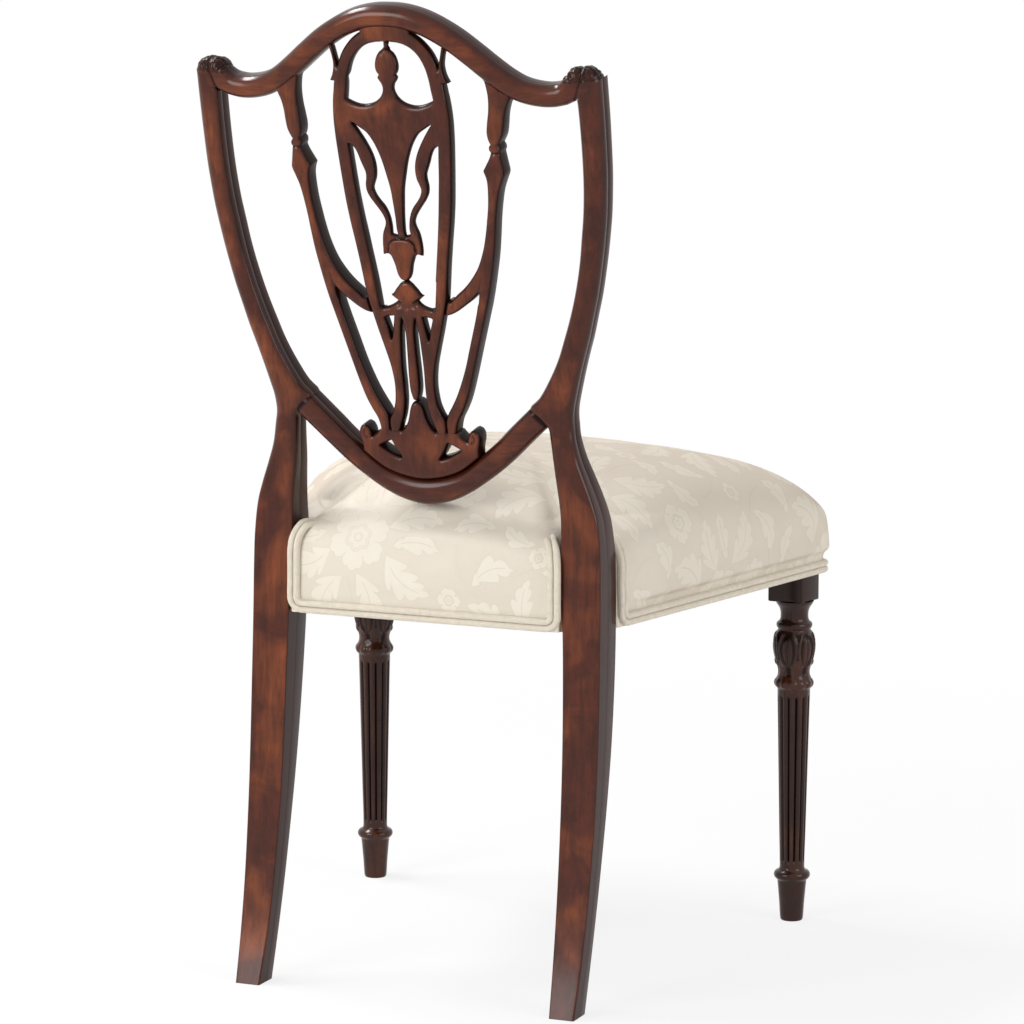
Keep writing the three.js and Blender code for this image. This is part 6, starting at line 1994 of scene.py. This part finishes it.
@dataclass
class DoubleWelt:
    """Two cloth covered cords side by side, run round the cover's lower edge and up its corners."""

    plan: SeatPlan = SeatPlan()
    width: float = 13.2 * MM
    proud: float = 5.0 * MM
    backing: float = 1.0 * MM
    turn: float = 9 * MM
    top: float = 466 * MM
    sunk: float = 7 * MM
    sink_run: float = 16 * MM
    rear_overhang: float = 3 * MM

    def section(self) -> tuple[Array, Array, Array]:
        """Two circles side by side over a flat back: across, out and how open each point is."""
        t = np.linspace(math.pi, 0, 13)
        radius = self.width / 4
        rise = np.sin(t) ** 0.8 * (self.proud - self.backing) + self.backing
        one = np.stack([np.cos(t) * radius - radius, rise], 1)
        two = one + np.array([2 * radius, 0.0])
        both = np.vstack([[[-2 * radius, 0.0]], one, two[1:], [[2 * radius, 0.0]]])
        openness = np.ones(len(both))
        openness[13] = 0.0
        openness[[12, 14]] = 0.4
        openness[[0, -1]] = 0.2
        return both[:, 0], both[:, 1], openness

    def sweep(self, path: Array, out: Array) -> Surface:
        """Carries the section along a path.

        Args:
            path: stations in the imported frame.
            out: unit direction away from the cover at each station.

        Returns:
            The closed welt.
        """
        side = unit(np.cross(unit(np.gradient(path, axis=0)), out))
        across, high, openness = self.section()
        run = run_along(path)
        wobble = 1 + 0.05 * np.sin(run * 190) * np.sin(run * 47 + 1)
        lift = (high[None] * wobble[:, None])[..., None]
        rings = path[:, None] + side[:, None] * across[None, :, None] + out[:, None] * lift
        return skin(rings).shaded(np.broadcast_to(openness, rings.shape[:2]), 0.5)

    def quarter(self) -> Array:
        """Quarter turn from down to level, as rows of [along, above]."""
        t = np.linspace(0, math.pi / 2, 8)
        return np.stack([self.turn * (1 - np.cos(t)), self.turn * (1 - np.sin(t))], 1)

    def upright(self, point: tuple, edge: tuple) -> tuple[Array, Array]:
        """The end of a welt that climbs the cover, bends over its shoulder and sinks into it.

        Args:
            point: plan point whose line up the cover it follows.
            edge: unit direction along the cover's edge there, with the cover on its left.

        Returns:
            Stations from the hidden end down to the bottom turn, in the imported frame, and the
            directions away from the cover.
        """
        rings = self.plan.crown(np.array([point]), self.plan.refined(9))[:, 0]
        low = self.plan.bottom + self.width / 2 + self.turn
        rings = rings[(rings[:, 2] > low + 2 * MM) & (rings[:, 2] < self.top)][::-1]
        length = run_along(rings)[-1]
        at = np.linspace(0, length, int(length / (2.6 * MM)))
        path = at_lengths(rings, at)
        out = unit(np.cross(np.gradient(path, axis=0), np.array([*edge, 0.0])))
        out *= np.sign(out[-1] @ np.array([edge[1], -edge[0], 0.0]))
        sink = self.sunk * (1 - smoothstep(at, 0.0, self.sink_run))
        return path + out * (self.plan.joint - sink)[:, None], out

    def rear(self) -> Surface:
        """The welt across the back: level along the bottom, up both edges and over the shoulders."""
        seat = self.plan
        y = seat.rear_depth + seat.joint + ORIGIN_SHIFT
        edge = seat.rear_half + self.rear_overhang - self.width / 2
        low = seat.bottom + self.width / 2
        climb, away = self.upright((edge, seat.rear_depth), (-1.0, 0.0))
        climb[:, 0] += (edge - climb[-1, 0]) * smoothstep(climb[:, 2], 452 * MM, 430 * MM)
        bend = self.quarter()
        x = [*(edge - bend[:, 0]), *(edge - self.turn - run * MM for run in (8, 40, 80)), 0.0]
        z = [*(low + bend[:, 1]), *[low] * 4]
        flat = np.stack([x, np.full(len(x), y), z], 1)
        out = np.vstack([away, np.broadcast_to(np.array([0.0, 1.0, 0.0]), flat.shape)])
        path, out = there_and_back(np.vstack([climb, flat])), there_and_back(out)
        keep = np.append(True, np.linalg.norm(np.diff(path, axis=0), axis=1) > 0.4 * MM)
        return self.sweep(path[keep], out[keep])

    def round_seat(self) -> Surface:
        """The welt down the side, round the front and up the other side."""
        seat = self.plan
        low = seat.bottom + self.width / 2
        start = seat.notch_depth - self.width / 2 - seat.joint
        cosine, sine = math.cos(seat.side_angle), math.sin(seat.side_angle)
        down, climbing = self.upright((float(seat.side_at(start)), start), (-sine, cosine))
        down[:, 1] -= ORIGIN_SHIFT
        bend = self.quarter()
        depth = start - bend[:, 0]
        swing = np.stack([seat.side_at(depth, -seat.joint), depth, low + bend[:, 1]], 1)
        depth = np.linspace(start - self.turn - 6 * MM, seat.front_depth + seat.corner_reach + 4 * MM, 24)
        level = np.stack([seat.side_at(depth, -seat.joint), depth, np.full(24, low)], 1)
        rest = np.vstack([seat.front_corner(), seat.front_edge()])
        rest = np.hstack([rest, np.full((len(rest), 1), low)])
        half = np.vstack([down, swing, level, rest])
        away = np.tile([cosine, sine, 0.0], (len(half), 1))
        away[: len(down)] = climbing
        bent = len(half) - len(rest)
        step = np.gradient(half[:, :2], axis=0)[bent:]
        square = unit(np.stack([-step[:, 1], step[:, 0]], 1))
        away[bent:, :2] = square * np.sign((square * half[bent:, :2]).sum(1, keepdims=True))
        away[-1] = (0.0, -1.0, 0.0)
        half[bent:, :2] += away[bent:, :2] * seat.joint
        path = there_and_back(half)
        path[:, 1] += ORIGIN_SHIFT
        return self.sweep(path, there_and_back(away))

    def build(self, shop: Workshop) -> None:
        """Builds and mounts both welts."""
        shop.mount(self.rear(), "double_welt_rear", 70, Finish.WELT, "welt", "welt_rear")
        shop.mount(self.round_seat(), "double_welt_round", 70, Finish.WELT, "welt", "welt_round_seat")


@dataclass
class UnderSeat:
    """Webbing, hessian and under cloth, and the timber frame that carries them."""

    plan: SeatPlan = SeatPlan()
    strip_width: float = 50 * MM
    strip_thickness: float = 1.2 * MM
    weave_depth: float = 0.12 * MM
    weave_pitch: float = 49 * MM
    cloth_thickness: float = 0.5 * MM
    front_cut: tuple = (12 * MM, 8 * MM)
    rails: tuple = ("seat_rail_front", "seat_rail_rear", "seat_rail_left", "seat_rail_right")

    def woven_strip(self, name: str, along_y: bool) -> tuple[Surface, tuple]:
        """A webbing strip in its CAD node's place, dipping a little over and under its neighbours.

        Args:
            name: the CAD node.
            along_y: whether it runs from front to back.

        Returns:
            The strip, closed, and its flat width and length.
        """
        low, high = (np.array(corner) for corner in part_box(name))
        length = (high - low)[1 if along_y else 0]
        run, span = np.meshgrid(np.linspace(0, 1, 90), np.linspace(0, 1, 13), indexing="ij")
        wave = self.weave_depth * np.cos(run * length / self.weave_pitch * math.pi)
        z = (low[2] + high[2]) / 2 + wave + self.strip_thickness / 2
        across, along = (span, run) if along_y else (run, span)
        x, y = low[0] + (high[0] - low[0]) * across, low[1] + (high[1] - low[1]) * along
        top = np.stack([x, y, z], -1)
        bottom = top[:, ::-1] - np.array([0.0, 0.0, self.strip_thickness])
        return skin(np.concatenate([top, bottom], axis=1)), (self.strip_width, length)

    def cloth(self, inset: float, height: float, sag: float) -> tuple[Surface, float]:
        """A flat cloth inside the seat's plan, sagging towards its middle.

        Args:
            inset: distance that its edge lies inside the plan.
            height: its height at the edge.
            sag: how far its middle hangs down.

        Returns:
            The closed sheet and its area.
        """
        seat = self.plan
        clear = inset + 1 * MM
        rear, notch = seat.rear_depth - inset, seat.notch_depth - clear
        front, inner = seat.front_depth + inset, seat.rear_half - clear
        cut_x, cut_y = self.front_cut
        side = seat.side_at(np.array([notch, front + cut_y]), inset)
        loop = mirror_half(np.array([
            (0.0, rear), (inner, rear), (inner, notch), (side[0], notch),
            (side[1], front + cut_y), (side[1] - cut_x, front), (0.0, front),
        ]))
        closed = np.vstack([loop, loop[:1]])
        length = run_along(closed)[-1]
        at = np.linspace(0, length, 240, endpoint=False)
        ring = at_lengths(closed, at)
        centre = np.array([0.0, -30 * MM])
        share = np.linspace(0.02, 1, 14)[:, None]
        rings = centre + (ring - centre)[None] * share[..., None]
        ripple = 0.25 * MM * np.sin(at / length * 40 * math.pi)[None] * share**3
        top = np.concatenate([rings, (height - sag * (1 - share**2) + ripple)[..., None]], 2)
        under = top[::-1] - np.array([0.0, 0.0, self.cloth_thickness])
        shell = np.concatenate([top, under]) + np.array([0.0, ORIGIN_SHIFT, 0.0])
        x, y = ring.T
        area = abs(float((x * np.roll(y, -1) - y * np.roll(x, -1)).sum())) / 2
        return skin(shell), area

    def build(self, shop: Workshop) -> None:
        """Builds the cloth pieces and dresses the timber."""
        for number in (1, 2, 3):
            for kind, along_y, rests in (("along", True, self.rails[:2]), ("across", False, self.rails[2:])):
                node = f"webbing_{kind}_{number}"
                surface, flat = self.woven_strip(node, along_y)
                name = f"webbing_strip_{kind}_{number}"
                strip = shop.mount(surface, name, 50, Finish.WEBBING, "webbing", node)
        surface, area = self.cloth(9 * MM, 442.4 * MM, 0.2 * MM)
        hessian = shop.mount(surface, "hessian_cloth", 50, Finish.HESSIAN, "webbing", "hessian_sheet")
        surface, area = self.cloth(12 * MM, 371.6 * MM, 0.5 * MM)
        under = shop.mount(surface, "under_cloth_sheet", 50, Finish.BLACK, "under_cloth", "under_cloth")
        corners = [f"{end}_{side}" for end in ("front", "rear") for side in ("left", "right")]
        braces = [f"corner_brace_{corner}" for corner in corners]
        pins = [f"{joint}_pin_{side}" for joint in ("crest", "lower_rail") for side in ("left", "right")]
        screws = [f"brace_screw_{corner}_{number}" for corner in corners for number in (1, 2)]
        shop.keep((*self.rails, *braces, *pins), Finish.TIMBER, "frame_timber")
        shop.keep(tuple(screws), Finish.STEEL, "screw_steel")


# ---- studio ----


@dataclass
class Studio:
    """Camera, pale floor and soft lamps."""

    eye: tuple = (-1.832, 4.23565, 1.211)
    yaw: float = math.radians(23.16)
    pitch: float = math.radians(9.3)
    lens: float = 161.8
    sensor: float = 36.0
    ambient: float = 0.42
    floor_size: float = 9.0
    floor_color: tuple = (0.86, 0.86, 0.86, 1)
    # Name, place, aim, size and power in watts
    lamps: tuple = (
        ("overhead", (2.0, -0.05, 3.2), (0, 0.1, 0.6), (1.8, 0.6), 88),
        ("key", (1.6, 3.2, 1.9), (0, 0, 0.5), (1.8, 1.8), 66),
        ("side", (-3.0, 0.6, 1.6), (0, 0, 0.5), (1.6, 1.8), 34),
    )

    def link(self, made: bpy.types.Object, place: tuple, way: Vector) -> None:
        """Puts a camera or lamp in its place, facing along a direction."""
        made.location = place
        made.rotation_mode = "QUATERNION"
        made.rotation_quaternion = way.to_track_quat("-Z", "Y")
        bpy.context.scene.collection.objects.link(made)

    def camera(self) -> None:
        """Places the camera that matches the photograph."""
        data = bpy.data.cameras.new("view")
        data.lens = self.lens
        data.sensor_width = self.sensor
        data.sensor_fit = "HORIZONTAL"
        data.clip_end = 100
        camera = bpy.data.objects.new("view", data)
        level = math.cos(self.pitch)
        way = (math.sin(self.yaw) * level, -math.cos(self.yaw) * level, -math.sin(self.pitch))
        self.link(camera, self.eye, Vector(way))
        bpy.context.scene.camera = camera

    def lamp(self, name: str, place: tuple, aim: tuple, size: tuple, power: float) -> None:
        """Adds a soft rectangular lamp.

        Args:
            name: its name.
            place: where it stands.
            aim: the point that it faces.
            size: its width and height.
            power: its power in watts.
        """
        data = bpy.data.lights.new(name, "AREA")
        data.shape = "RECTANGLE"
        data.size, data.size_y = size
        data.energy = power
        self.link(bpy.data.objects.new(name, data), place, Vector(aim) - Vector(place))

    def world(self) -> None:
        """A soft white surround that is plain white where the camera or a reflection sees it."""
        world = bpy.data.worlds.new("surround")
        bpy.context.scene.world = world
        world.use_nodes = True
        world.node_tree.nodes.clear()
        n = Nodes(world.node_tree)
        lit, white = (
            n.wire("ShaderNodeBackground", 0, {"Color": (1, 1, 1, 1), "Strength": strength})
            for strength in (self.ambient, 1.0)
        )
        mixed = n.wire("ShaderNodeMixShader", 0, {0: n.seen(), 1: lit, 2: white})
        n.add("ShaderNodeOutputWorld", {0: mixed})

    def floor(self) -> None:
        """A wide pale floor that keeps a faint shadow of the chair."""
        size = self.floor_size
        corners = np.array([(-size, -size, 0), (size, -size, 0), (size, size, 0), (-size, size, 0)], float)
        made = Surface(corners, [np.array([[0, 1, 2, 3]])]).build("floor")
        material = bpy.data.materials.new("pale_floor")
        material.use_nodes = True
        material.node_tree.nodes.clear()
        n = Nodes(material.node_tree)
        matt = n.wire("ShaderNodeBsdfDiffuse", 0, {"Color": self.floor_color})
        white = n.wire("ShaderNodeEmission", 0, {"Color": (1, 1, 1, 1), "Strength": 1.0})
        place = n.wire("ShaderNodeTexCoord", "Object")
        reach = n.wire("ShaderNodeVectorMath", "Value", {0: place}, operation="LENGTH")
        share = n.seen() * n.ramp(reach, 0.5, 1.6, 0.8, 1.0)
        mixed = n.wire("ShaderNodeMixShader", 0, {0: share, 1: matt, 2: white})
        n.add("ShaderNodeOutputMaterial", {0: mixed})
        made.data.materials.append(material)

    def build(self) -> None:
        """Sets up the whole studio."""
        bpy.context.scene.view_settings.view_transform = "Standard"
        self.camera()
        self.world()
        self.floor()
        for lamp in self.lamps:
            self.lamp(*lamp)


def main() -> None:
    """Builds the chair piece by piece in its studio."""
    logging.basicConfig(level=logging.INFO, format="%(message)s")
    Studio().build()
    shop = Workshop()
    for part in (ShieldFrame, Splat, FrontLegs, Cushion, DoubleWelt, UnderSeat):
        LOG.info("%s", part.__name__)
        part().build(shop)
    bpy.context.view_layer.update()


if __name__ == "__main__":
    main()
